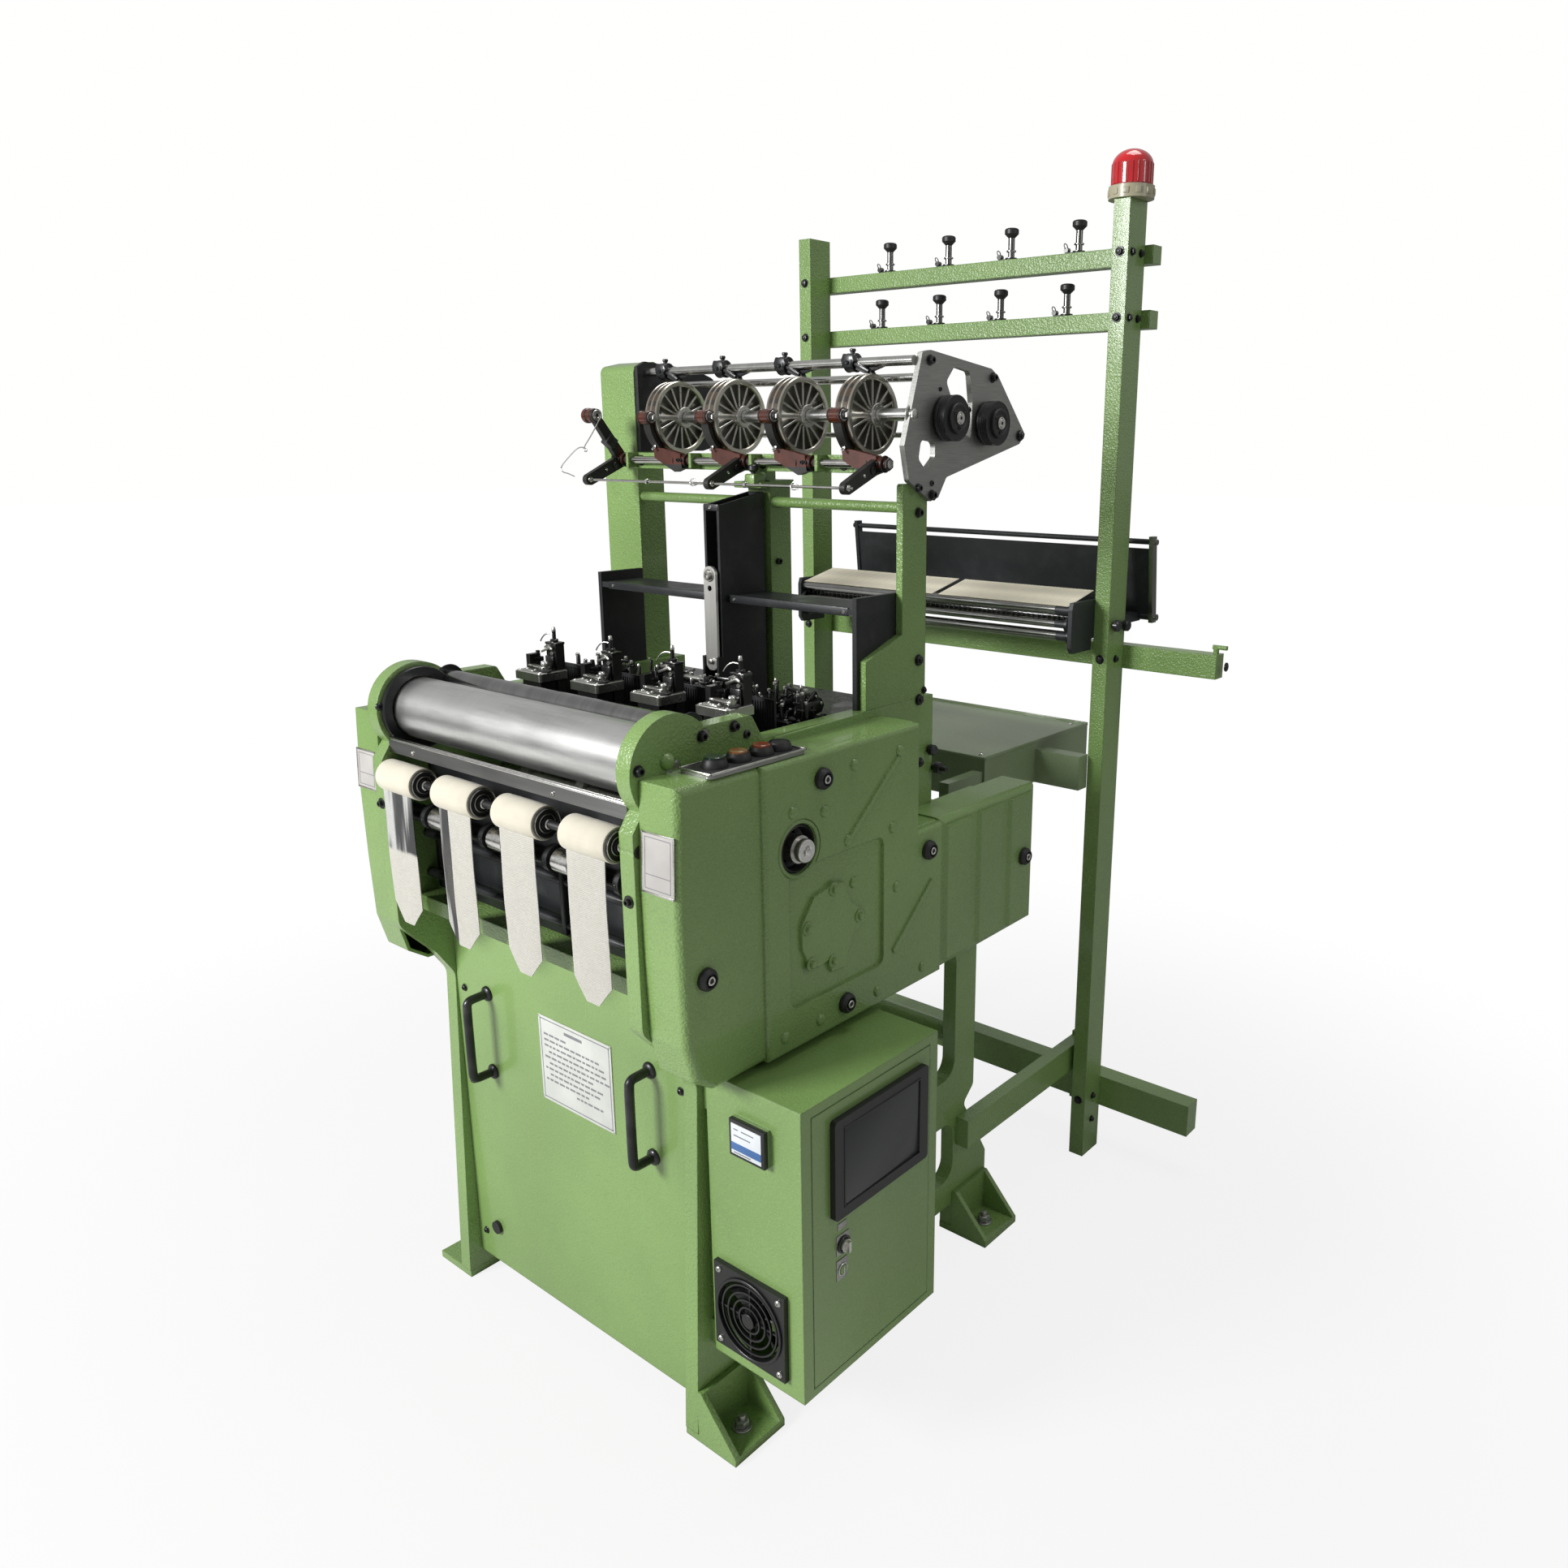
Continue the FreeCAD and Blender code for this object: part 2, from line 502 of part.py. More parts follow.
# the gear case shows through as a raised outline in the recess
GEAR = [(-14, 56), (10, 55), (27, 20), (57, -4), (55, -20), (30, -30), (12, -73), (-16, -71), (-19, -50),
        (-39, -55), (-59, -51), (-75, -19), (-76, 16), (-51, 49)]
gear_case = outline("x", [("gear_y + (%g)" % a, "gear_z + (%g)" % b) for a, b in GEAR],
                    "cover_out - recess_deep - 1", "cover_out - recess_deep + gear_high")


def rib(a, b):
    """A straight raised rib on the cover's face from a to b."""
    ay, az, by, bz = num(a[0]), num(a[1]), num(b[0]), num(b[1])
    long = ((by - ay) ** 2 + (bz - az) ** 2) ** 0.5
    ny, nz = (az - bz) / long / 2, (by - ay) / long / 2
    side = [("%s %s (%.6f) * rib_w" % (p[0], sign, ny), "%s %s (%.6f) * rib_w" % (p[1], sign, nz))
            for p, sign in ((a, "+"), (b, "+"), (b, "-"), (a, "-"))]
    return outline("x", side, "cover_out - 1", "cover_out + rib_high")


ribs = [rib(("recess_rear + 32", "cover_top - 41"), ("recess_rear - 79", "cover_top - 137")),
        rib(("neck_rear - 29", "recess_low + 98"), ("neck_rear - 124", "recess_low + 12"))]
# a lip stands up along the cover's inner edge
lip = outline("x", [("ear_rear + 34", "cover_top - 1"), ("ear_rear + 42", "cover_top + lip_high - 3"),
                    ("wedge_y - 18", "cover_top + lip_high"), ("wedge_y - 6", "cover_top - 1")],
              "frame_half + cover_gap", "frame_half + cover_gap + lip_t")
piece("right_cover", fuse(shell_right, gear_case, *ribs, lip))
piece("left_cover", mirrored(cover([p for i, p in enumerate(COVER) if i not in (6, 7)][:6]
                                   + [("cover_rear", "cover_low"), ("cover_rear", "cover_top")], FACE)))

REAR = [("neck_rear + 1", "cover_low - 1"), ("rear_cover_end", "cover_low + 3"),
        ("rear_cover_end", "neck_top"), ("neck_rear + 1", "neck_top + 2")]
creases = []
for k in range(3):
    y = "neck_rear + 8 + %d * 90" % k
    creases.append(outline("z", [("cover_out - cover_step - 2", y), ("cover_out - 2", y + " + 8"),
                                 ("cover_out - 2", y + " + 70"),
                                 ("cover_out - cover_step - 2", y + " + 78")],
                           "cover_low + 14", "neck_top - 12"))
piece("rear_cover", fuse(cover(REAR, FACE), *creases))

# rubber plugs in the cover's fixing holes, and one in the front panel
PLUGS = [("recess_front + 66", "cover_top - 37", "cover_out"), ("cover_front + 40", "cover_low + 159", FACE),
         ("gear_y + 13", "cover_low + 33", "cover_out"), ("neck_rear - 40", "neck_top - 35", "cover_out"),
         ("rear_cover_end - 41", "neck_top - 119", "cover_out - 2")]
plugs = []
for y, z, face in PLUGS:
    plugs.append(rod("x", face, face + " + 7", y, z, "12"))
    plugs.append(rod("x", face + " + 7", face + " + 10", y, z, "6"))
plugs.append(rod("y", "panel_y - panel_t - 6", "panel_y - panel_t", "-grip_x - 26", "panel_low + 69",
                 "11"))
piece("rubber_plugs", fuse(*plugs))

# main shaft: its end shows in the round opening of the right cover
piece("main_shaft", fuse(rod("x", "-frame_left - 8", "main_end - 16", "eye_y", "eye_z", "main_r"),
                         rod("x", "frame_half + 20", "main_end - 10", "eye_y", "eye_z", "main_r + 5"),
                         rod("x", "main_end - 10", "main_end", "eye_y", "eye_z", "main_r + 2"),
                         *[rod("x", lane(k) + " - 9", lane(k) + " + 9", "eye_y + 7", "eye_z", "main_r + 14")
                           for k in range(4)]))

# push buttons in a steel plate on the cover
SWITCH = [("button_x - switch_w / 2", "switch_y - switch_len / 2"),
          ("button_x + switch_w / 2", "switch_y - switch_len / 2"),
          ("button_x + switch_w / 2", "switch_y + switch_len / 2"),
          ("button_x - switch_w / 2", "switch_y + switch_len / 2")]
switch_plate = outline("z", SWITCH, "cover_top", "cover_top + switch_t", [((0, 1, 2, 3), "8")])
button_holes = [rod("z", "cover_top - 1", "cover_top + switch_t + 1", "button_x",
                    "switch_y + (%g) * button_pitch" % (k - 1.25), "button_r + 0.5") for k in range(3)]
piece("switch_plate", cut(switch_plate, *button_holes))
for k, name in enumerate(("jog_button", "start_button", "stop_button")):
    y = "switch_y + (%g) * button_pitch" % (k - 1.25)
    top = "cover_top + switch_t + button_high"
    piece(name, fuse(rod("z", "cover_top - 6", top, "button_x", y, "button_r"),
                     rod("z", "cover_top - 8", "cover_top - 5.9", "button_x", y, "button_r + 3")))

# ---------------------------------------------------------------- control box
case = box("box_in", "box_out", "box_front", "box_rear", "box_low", "box_top")
hollow = box("box_in + box_wall", "box_out - 12", "box_front + box_wall", "box_rear - box_wall",
             "box_low + box_wall", "box_top - box_wall")
mouth = box("box_out - 13", "box_out + 1", "door_front", "door_rear", "door_low", "door_top")
fan_hole = rod("y", "box_front - 1", "box_front + box_wall + 1", "guard_x", "guard_z", "fan_r + 3")
brackets = [box("frame_half", "box_in", a, b, z, z + " + 40")
            for z in ("box_low + 2", "box_top - 60")
            for a, b in (("box_front + 4", "box_front + 34"),
                         ("leg_rear_foot - 36", "leg_rear_foot - 6"))]
bezel = box("meter_x - meter_w / 2", "meter_x + meter_w / 2", "box_front - 5", "box_front",
            "meter_z - meter_high / 2", "meter_z + meter_high / 2")
# the fan turns on a post that stands on the floor of the box
fan_post = box("guard_x - 10", "guard_x + 10", "box_front + 44 + run_gap", "box_front + 56",
               "box_low + 1", "guard_z + 14")
piece("control_box", fuse(cut(case, hollow, mouth, fan_hole), *brackets, bezel, fan_post))

door = box("box_out - door_t", "box_out", "door_front + door_gap", "door_rear - 2 * hinge_gap",
           "door_low + door_gap", "door_top - door_gap")
key_hole = rod("x", "box_out - door_t - 1", "box_out + 1", "key_y", "key_z", "key_r - 3 + run_gap")
latch = rod("x", "box_out", "box_out + 4", "key_y - 2", "key_z - 38", "7")
piece("control_door", fuse(cut(door, key_hole), latch))
SCREEN = [("screen_y - screen_w / 2", "screen_z - screen_high / 2"),
          ("screen_y + screen_w / 2", "screen_z - screen_high / 2"),
          ("screen_y + screen_w / 2", "screen_z + screen_high / 2"),
          ("screen_y - screen_w / 2", "screen_z + screen_high / 2")]
bezel_body = outline("x", SCREEN, "box_out", "box_out + screen_t", [((0, 1, 2, 3), "6")])
glass = box("box_out + screen_t - 1.5", "box_out + screen_t + 1", "screen_y - screen_w / 2 + 20",
            "screen_y + screen_w / 2 - 20", "screen_z - screen_high / 2 + 16",
            "screen_z + screen_high / 2 - 16")
piece("touch_screen", cut(bezel_body, glass))
piece("key_switch", fuse(rod("x", "box_out - door_t - 6", "box_out + 3", "key_y", "key_z", "key_r - 3"),
                         rod("x", "box_out + 1", "box_out + 8", "key_y", "key_z", "key_r"),
                         box("box_out + 8", "box_out + 14", "key_y - 2.5", "key_y + 2.5",
                             "key_z - key_r + 1", "key_z + key_r - 1")))

# fan guard: a square frame with rings on ribs round a hub disc
G0, G1 = "box_front - guard_t", "box_front"
frame_sq = box("guard_x - guard_w / 2", "guard_x + guard_w / 2", G0, G1, "guard_z - guard_w / 2",
               "guard_z + guard_w / 2")
frame_sq = cut(frame_sq, rod("y", G0 + " - 1", G1 + " + 1", "guard_x", "guard_z", "fan_r + 3"))
rings = []
for k in range(4):
    r = "(fan_r * %g + 6)" % (0.26 + 0.2 * k)
    rings.append(cut(rod("y", G0, G0 + " + 3", "guard_x", "guard_z", r),
                     rod("y", G0 + " - 1", G0 + " + 4", "guard_x", "guard_z", r + " - 2.5")))
ribs = [box("guard_x - fan_r - 4", "guard_x + fan_r + 4", G0 + " + 2", G0 + " + 5", "guard_z - 1.5",
            "guard_z + 1.5"),
        box("guard_x - 1.5", "guard_x + 1.5", G0 + " + 2", G0 + " + 5", "guard_z - fan_r - 4",
            "guard_z + fan_r + 4")]
hub_disc = rod("y", G0, G0 + " + 3", "guard_x", "guard_z", "fan_r * 0.2")
piece("fan_guard", fuse(frame_sq, *rings, *ribs, hub_disc))

blades = [rod("y", "box_front + 3", "box_front + 22", "guard_x", "guard_z", "fan_r * 0.34"),
          rod("y", "box_front + 3", "box_front + 44", "guard_x", "guard_z", "4")]
for k in range(7):
    blade = box("8", "fan_r - 3", "-1.2", "1.2", "-9", "9")
    tilt = FreeCAD.Rotation(V(1, 0, 0), 55)
    spin = FreeCAD.Rotation(V(0, 1, 0), 360.0 * k / 7)
    turned = doc.addObject("Part::Compound", "turned_blade")
    turned.Links = [blade]
    turned.Placement = FreeCAD.Placement(V(), spin.multiply(tilt))
    moved = doc.addObject("Part::Compound", "fan_blade")
    moved.Links = [turned]
    place(moved, "guard_x", "box_front + 12.5", "guard_z")
    blades.append(moved)
piece("fan_rotor", fuse(*blades))

# ---------------------------------------------------------------- columns and head
COL_REAR = "(col_y + col_deep)"
left_col = outline("x", [("col_y", "frame_top"), (COL_REAR, "frame_top"), (COL_REAR, "col_left_top + 6"),
                         ("col_y", "col_left_top - 6")], "-col_left_out", "-col_left_in", [((2, 3), "14")])
# it stands on the side frame and reaches down beside it
left_leg = box("-col_left_out", "-frame_left", "col_y", COL_REAR, "col_low", "frame_top")
piece("column_left", fuse(left_col, left_leg))

right_col = outline("x", [("wedge_y", "frame_top"), (COL_REAR, "frame_top"), (COL_REAR, "col_top"),
                          ("col_y", "col_top"), ("col_y", "wedge_z + 30"), ("wedge_y", "wedge_z")],
                    "frame_half - col_t", "frame_half", [((2, 3), "5")])
piece("column_right", right_col)

middle = box("-mid_col_w / 2", "mid_col_w / 2", "col_y", "col_y + mid_col_deep", "bed_z", "mid_col_top")
cap = box("-mid_col_w / 2 - 4", "mid_col_w / 2 + 4", "col_y - 4", "col_y + mid_col_deep + 4",
          "mid_col_top", "mid_col_top + 8")
tube = rod("x", "-col_left_in", "frame_half - col_t", "rail_y", "rail_z", "rail_r")
BAR_FRONT = "(col_y - bar_t)"
flat_bar = box("-col_left_in - bar_lap", "bar_end", BAR_FRONT, "col_y", "bar_z", "bar_z + bar_high")
lift = box("-mid_col_w / 2 + 8", "mid_col_w / 2 - 8", "col_y - 1", "col_y + 22", "mid_col_top",
           "bar_z + bar_high - 6")

# the steel end plates carry the feed shaft, the rods and the two pulleys
HEAD = [(-22, -43), (-10, -93), (43, -123), (62, -118), (82, -89), (281, -41), (297, -26), (215, 61),
        (196, 71), (39, 90), (19, 86)]
HEAD_AT = [("shaft_y + (%g)" % a, "shaft_z + (%g)" % b) for a, b in HEAD]
head = outline("x", HEAD_AT, "frame_half", "head_out", [((1, 4, 5), "8")])
window = outline("x", [("shaft_y + 78", "shaft_z + 48"), ("shaft_y + 98", "shaft_z + 70"),
                       ("shaft_y + 138", "shaft_z + 64"), ("shaft_y + 146", "shaft_z + 20"),
                       ("shaft_y + 144", "shaft_z - 34"), ("shaft_y + 120", "shaft_z - 22")],
                 "frame_half - 1", "head_out + 1", [((0, 1, 2), "8")])
small = outline("x", [("shaft_y + 12", "shaft_z - 62"), ("shaft_y + 30", "shaft_z - 78"),
                      ("shaft_y + 52", "shaft_z - 60"), ("shaft_y + 52", "shaft_z - 38"),
                      ("shaft_y + 18", "shaft_z - 34")], "frame_half - 1", "head_out + 1",
                [((0, 1, 2, 3, 4), "9")])
bores = [rod("x", "frame_half - 1", "head_out + 1", y, z, r + " + run_gap") for y, z, r in (
    ("shaft_y", "shaft_z", "shaft_r"), ("pulley_a_y", "pulley_a_z", "stud_r"),
    ("pulley_b_y", "pulley_b_z", "stud_r"))]
piece("head_plate_right", cut(head, window, small, *bores))

LEFT_HEAD = [("col_y + 2", "shaft_z - 55"), ("shaft_y + 136", "shaft_z - 55"),
             ("shaft_y + 183", "shaft_z - 44"), ("shaft_y + 182", "shaft_z + 26"),
             ("shaft_y + 168", "shaft_z + 70"), ("shaft_y + 124", "shaft_z + 84"),
             ("col_y + 20", "shaft_z + 93"), ("col_y + 2", "shaft_z + 84")]
left_head = outline("x", LEFT_HEAD, "-col_left_in", "-col_left_in + head_t", [((2, 3, 4), "18")])
piece("head_plate_left", cut(left_head, rod("x", "-col_left_in - 1", "-col_left_in + head_t + 1", "shaft_y",
                                            "shaft_z", "shaft_r + run_gap")))

WHEEL_X = "%s + lane_shift"
rods = [rod("x", "-col_left_in + head_t", "frame_half", y, z, r) for y, z, r in (
    ("rod_a_y", "rod_a_z", "rod_a_r"), ("rod_b_y", "rod_b_z", "rod_a_r - 1"),
    ("rod_c_y", "rod_c_z", "rod_c_r"))]
# a clamp for each wheel, with a finger that leans over the wheel's rim
WHEEL_TOP = "(shaft_z + wheel_r)"
for k in range(4):
    x = WHEEL_X % lane(k)
    c = x + " - clamp_lead"
    rods.append(rod("x", c + " - 8", c + " + 8", "rod_a_y", "rod_a_z", "rod_a_r + 6"))
    rods.append(outline("y", [(c + " - 6", "rod_a_z - 4"), (c + " + 6", "rod_a_z + 4"),
                              (x + " + 2", WHEEL_TOP + " + 7"), (x + " + 5", WHEEL_TOP + " + 3"),
                              (x + " - 8", WHEEL_TOP + " + 3")], "rod_a_y - 6", "rod_a_y + 4"))
    rods.append(rod("z", "rod_a_z", "rod_a_z + 18", c, "rod_a_y", "3.5"))
piece("head_rods", fuse(*rods))

piece("feed_shaft", fuse(rod("x", "-col_left_in + run_gap", "head_out", "shaft_y", "shaft_z", "shaft_r"),
                         rod("x", "-col_left_in + head_t + run_gap", "-col_left_in + head_t + 12",
                             "shaft_y", "shaft_z", "shaft_r + 5")))


def spoked_wheel(x):
    x0, x1 = x + " - wheel_w / 2", x + " + wheel_w / 2"
    rim = cut(rod("x", x0, x1, "shaft_y", "shaft_z", "wheel_r"),
              rod("x", x0 + " - 1", x1 + " + 1", "shaft_y", "shaft_z", "wheel_r - rim_t"))
    hub = cut(rod("x", x0 + " - 6", x1 + " + 6", "shaft_y", "shaft_z", "hub_r"),
              rod("x", x0 + " - 7", x1 + " + 7", "shaft_y", "shaft_z", "shaft_r"))
    spokes = []
    for n in range(8):
        spoke = box("-wheel_w / 2 + 3", "wheel_w / 2 - 3", "-spoke_w / 2", "spoke_w / 2",
                    "hub_r - 1", "wheel_r - rim_t / 2")
        other = box("-wheel_w / 2 + 3", "wheel_w / 2 - 3", "-spoke_w / 2", "spoke_w / 2",
                    "-wheel_r + rim_t / 2", "-hub_r + 1")
        pair = doc.addObject("Part::Compound", "spoke_pair")
        pair.Links = [spoke, other]
        pair.Placement = FreeCAD.Placement(V(), FreeCAD.Rotation(V(1, 0, 0), 22.5 * n))
        moved = doc.addObject("Part::Compound", "spokes")
        moved.Links = [pair]
        spokes.append(place(moved, x, "shaft_y", "shaft_z"))
    return fuse(rim, hub, *spokes)


piece("feed_wheels", fuse(*[spoked_wheel(WHEEL_X % lane(k)) for k in range(4)]))

for name, y, z in (("front_pulley", "pulley_a_y", "pulley_a_z"),
                   ("rear_pulley", "pulley_b_y", "pulley_b_z")):
    piece(name, fuse(rod("x", "head_out + 4", "head_out + 4 + pulley_w", y, z, "pulley_r"),
                     rod("x", "head_out + 4 + pulley_w", "head_out + 8 + pulley_w", y, z, "pulley_r - 10"),
                     rod("x", "frame_half - 3", "head_out + 10 + pulley_w", y, z, "stud_r"),
                     rod("x", "frame_half - 9", "frame_half - 0.3", y, z, "stud_r + 4")))

# press levers: one rocking shaft below the wheels; each wheel has a cast lever whose curved arm
# follows the rim up to a presser roller, and the first lever, outside the wheels, ends in an eye roller
PRESSER_Y = "(shaft_y - wheel_r - presser_r - 0.5)"
BOSSES = ["lever_x"] + ["%s + lever_lag" % (WHEEL_X % lane(k)) for k in range(4)]
LEVER_END = BOSSES[4] + " + 22"
rocker = rod("x", "lever_x - 18", LEVER_END, "lever_y", "lever_z", "lever_shaft_r")
thin_rod = rod("x", "lever_x - 12", BOSSES[4] + " + 12", "thin_rod_y", "thin_rod_z", "thin_rod_r")


def on_shafts(*parts):
    """One lever, bored for the rocking shaft and the thin rod."""
    return cut(fuse(*parts), rod("x", "lever_x - 19", LEVER_END + " + 1", "lever_y", "lever_z",
                                 "lever_shaft_r + seat_gap"),
               rod("x", "lever_x - 21", LEVER_END + " + 1", "thin_rod_y", "thin_rod_z",
                   "thin_rod_r + seat_gap"))


def boss(x):
    return [rod("x", x + " - 14", x + " + 14", "lever_y", "lever_z", "lever_boss_r"),
            rod("x", x + " + 14", x + " + 20", "lever_y", "lever_z", "lever_boss_r - 3")]


def front_arm(x):
    """A flat arm that reaches forward to the thin rod."""
    return [outline("x", [("lever_y - 4", "lever_z + 10"), ("lever_y + 4", "lever_z - 10"),
                          ("thin_rod_y + 3", "thin_rod_z - 9"), ("thin_rod_y - 4", "thin_rod_z + 8")],
                    x + " - 5", x + " + 5"),
            rod("x", x + " - 5", x + " + 5", "thin_rod_y", "thin_rod_z", "9")]


def presser_arm(x, b):
    """The bracket from the boss at b, the curved arm beside the rim of the wheel at x, and its roller."""
    x0, x1 = x + " - lever_arm_w / 2 - 2", x + " + lever_arm_w / 2 - 2"
    band = cut(rod("x", x0, x1, "shaft_y", "shaft_z", "wheel_r + 10"),
               rod("x", x0 + " - 1", x1 + " + 1", "shaft_y", "shaft_z", "wheel_r + 3"))
    sector = outline("x", [("shaft_y", "shaft_z"), ("shaft_y - wheel_r - 30", "shaft_z + 3"),
                           ("shaft_y - wheel_r - 30", "shaft_z - wheel_r"),
                           ("shaft_y - wheel_r", "shaft_z - wheel_r - 30")], x0 + " - 1", x1 + " + 1")
    arm = doc.addObject("Part::MultiCommon", "curved_arm")
    arm.Shapes = [band, sector]
    bracket = outline("y", [(x + " - 10", "lever_z + 20"), (x + " + 10", "lever_z + 20"),
                            (b + " + 4", "lever_z + 11"), (b + " + 8", "lever_z - 12"),
                            (b + " - 10", "lever_z - 18"), (x + " - 8", "lever_z + 4")],
                      "lever_y - 11", "lever_y + 2")
    end = x + " + presser_w / 2"
    return [arm, bracket, rod("x", x + " - presser_w / 2", end, PRESSER_Y, "presser_z", "presser_r"),
            rod("x", end, end + " + 7", PRESSER_Y, "presser_z", "presser_r - 4")]


eye_arm = outline("x", [("lever_y - 8", "lever_z - 6"), ("lever_y + 8", "lever_z + 6"),
                        ("eye_roller_y + 6", "eye_roller_z + 5"), ("eye_roller_y - 6", "eye_roller_z - 5")],
                  "lever_x - 5", "lever_x + 5")
eye_roller = rod("x", "lever_x - 20", "lever_x + 8", "eye_roller_y", "eye_roller_z", "presser_r + 1")
levers = [on_shafts(*boss(BOSSES[0]), eye_arm, eye_roller, *front_arm(BOSSES[0]))]
for k in range(4):
    b = BOSSES[k + 1]
    # every second lever also has an arm to the thin rod
    reach = front_arm(b) if k % 2 else []
    levers.append(on_shafts(*boss(b), *presser_arm(WHEEL_X % lane(k), b), *reach))
piece("press_levers", group(rocker, thin_rod, *levers))
hangers = []
for x in BOSSES[:4]:
    c = x + " + 26"
    hangers.append(cut(box(c + " - 3", c + " + 3", "lever_y - 10", BAR_FRONT, "lever_z - 12", "lever_z + 12"),
                       rod("x", c + " - 4", c + " + 4", "lever_y", "lever_z", "lever_shaft_r + run_gap")))
piece("head_rails", fuse(middle, cap, tube, flat_bar, lift, *hangers))

# ---------------------------------------------------------------- harness guide and link bar
CH0, CH1 = "(-chan_w / 2)", "(chan_w / 2)"
RIGHT_END = "(frame_half - col_t - end_t)"
ends = [box("-col_left_in - end_t", "-col_left_in", "end_front", "col_y", "frame_top", "end_top"),
        box(RIGHT_END, RIGHT_END + " + end_t", "end_front", "col_y + 11", "frame_top", "end_top")]
shelf = box("-col_left_in", RIGHT_END, "end_front + 1", "guide_rear - 3", "shelf_z - shelf_t", "shelf_z")
channel = outline("x", [("guide_front", "bed_z"), ("guide_rear", "bed_z"), ("guide_rear", "chan_top + 12"),
                        ("guide_front", "chan_top - 6")], CH0, CH1)
inside = box(CH0 + " + chan_wall", CH1 + " - chan_wall", "guide_front - 1", "guide_rear - chan_wall",
             "shelf_z + 10", "chan_top + 20")
inside_low = box(CH0 + " + chan_wall", CH1 + " - chan_wall", "guide_front - 1", "guide_rear - chan_wall",
                 "bed_z + 12", "shelf_z - shelf_t - 8")
piece("harness_guide", fuse(*ends, shelf, cut(channel, inside, inside_low)))

LINK_Y = "(guide_front - link_t - 3)"
link = outline("y", [("-link_w / 2", "link_low"), ("link_w / 2", "link_low"),
                     ("link_w / 2", "link_top"), ("-link_w / 2", "link_top")],
               LINK_Y, LINK_Y + " + link_t", [((0, 1, 2, 3), "link_w / 2 - 1")])
link_holes = [rod("y", LINK_Y + " - 1", LINK_Y + " + link_t + 1", "0", z, "4.5")
              for z in ("link_top - 34", "link_low + 14")]
fork = [box(a, b, LINK_Y + " - 3", "guide_front", "bed_z + 8", "link_low + 22")
        for a, b in (("-link_w / 2 - 5", "-link_w / 2 - 0.5"), ("link_w / 2 + 0.5", "link_w / 2 + 5"))]
stub = rod("y", LINK_Y + " - 4", "guide_front", "0", "link_top - 14", "5")
piece("link_bar", fuse(cut(link, *link_holes), stub, *fork))

# ---------------------------------------------------------------- weft heads, needles and reed sley
heads = []
for k in range(4):
    x0, x1 = lane(k) + " - weft_w / 2", lane(k) + " + weft_w / 2"
    y0, y1 = "weft_y - weft_deep / 2", "weft_y + weft_deep / 2"
    heads += [outline("z", [(x0, y0), (x1, y0), (x1, y1), (x0, y1)], "weft_z - weft_t", "weft_z",
                      [((0, 1, 2, 3), "5")]),
              box(x0 + " + 10", x1 + " - 10", y0 + " + 8", y1 + " - 6", "bed_z", "weft_z - weft_t"),
              box(x0 + " - 6", x0 + " + 4", y1 + " - 26", y1 + " - 6", "bed_z", "weft_z + 22"),
              box(lane(k) + " + 3", lane(k) + " + 27", y1 + " - 17", y1 + " - 1", "bed_z", "weft_z + 42"),
              rod("z", "weft_z + 41", "weft_z + 62", lane(k) + " + 14", y1 + " - 9", "3")]
piece("weft_heads", fuse(*heads))

for k in range(4):
    x, y = lane(k) + " + weft_w / 2 - 11", "weft_y - 8"
    piece("weft_needle_%d" % (k + 1), fuse(
        rod("z", "weft_z + 0.3", "weft_z + 14", x, y, "needle_r"),
        outline("z", [(x + " + 3", "weft_y - 12"), (x + " + 2", "weft_y - 4"),
                      (x + " - needle_len + 8", "weft_y - 1"), (x + " - needle_len", "weft_y - 8"),
                      (x + " - needle_len + 8", "weft_y - 7")],
                "weft_z + 6", "weft_z + 6 + needle_t")))

sley = [rod("x", "-frame_left", "frame_half", "sley_y", "sley_pivot_z", "sley_shaft_r"),
        box(MINUS_INNER + " + 30", INNER + " - 30", "sley_y - 7", "sley_y + 7", "sley_top - reed_high - 16",
            "sley_top - reed_high")]
for k in (-1, 0, 1):
    sley.append(box("%d * lane_pitch * 1.45 - 8" % k, "%d * lane_pitch * 1.45 + 8" % k, "sley_y - 6",
                    "sley_y + 6", "sley_pivot_z", "sley_top - reed_high - 10"))
for k in range(4):
    x0, x1 = lane(k) + " - reed_w / 2", lane(k) + " + reed_w / 2"
    reed = box(x0, x1, "sley_y - reed_t / 2", "sley_y + reed_t / 2", "sley_top - reed_high - 1", "sley_top")
    dents = [box(x0 + " + 5 + %g" % (i * 5), x0 + " + 7.5 + %g" % (i * 5), "sley_y - reed_t",
                 "sley_y + reed_t", "sley_top - reed_high + 5", "sley_top - 5") for i in range(14)]
    sley.append(cut(reed, *dents))
piece("reed_sley", fuse(*sley))

# ---------------------------------------------------------------- creel
POST_REAR = "(post_y + post_deep)"


def post(x0, x1, top):
    tube_out = box(x0, x1, "post_y", POST_REAR, "0", top)
    bore = box(x0 + " + post_t", x1 + " - post_t", "post_y + post_t", POST_REAR + " - post_t",
               "post_t", top + " - post_t")
    return cut(tube_out, bore)


piece("creel_post_right", post("post_half - post_w", "post_half", "post_top"))
piece("creel_post_left", post("-post_left", "-post_left + post_w", "post_top"))

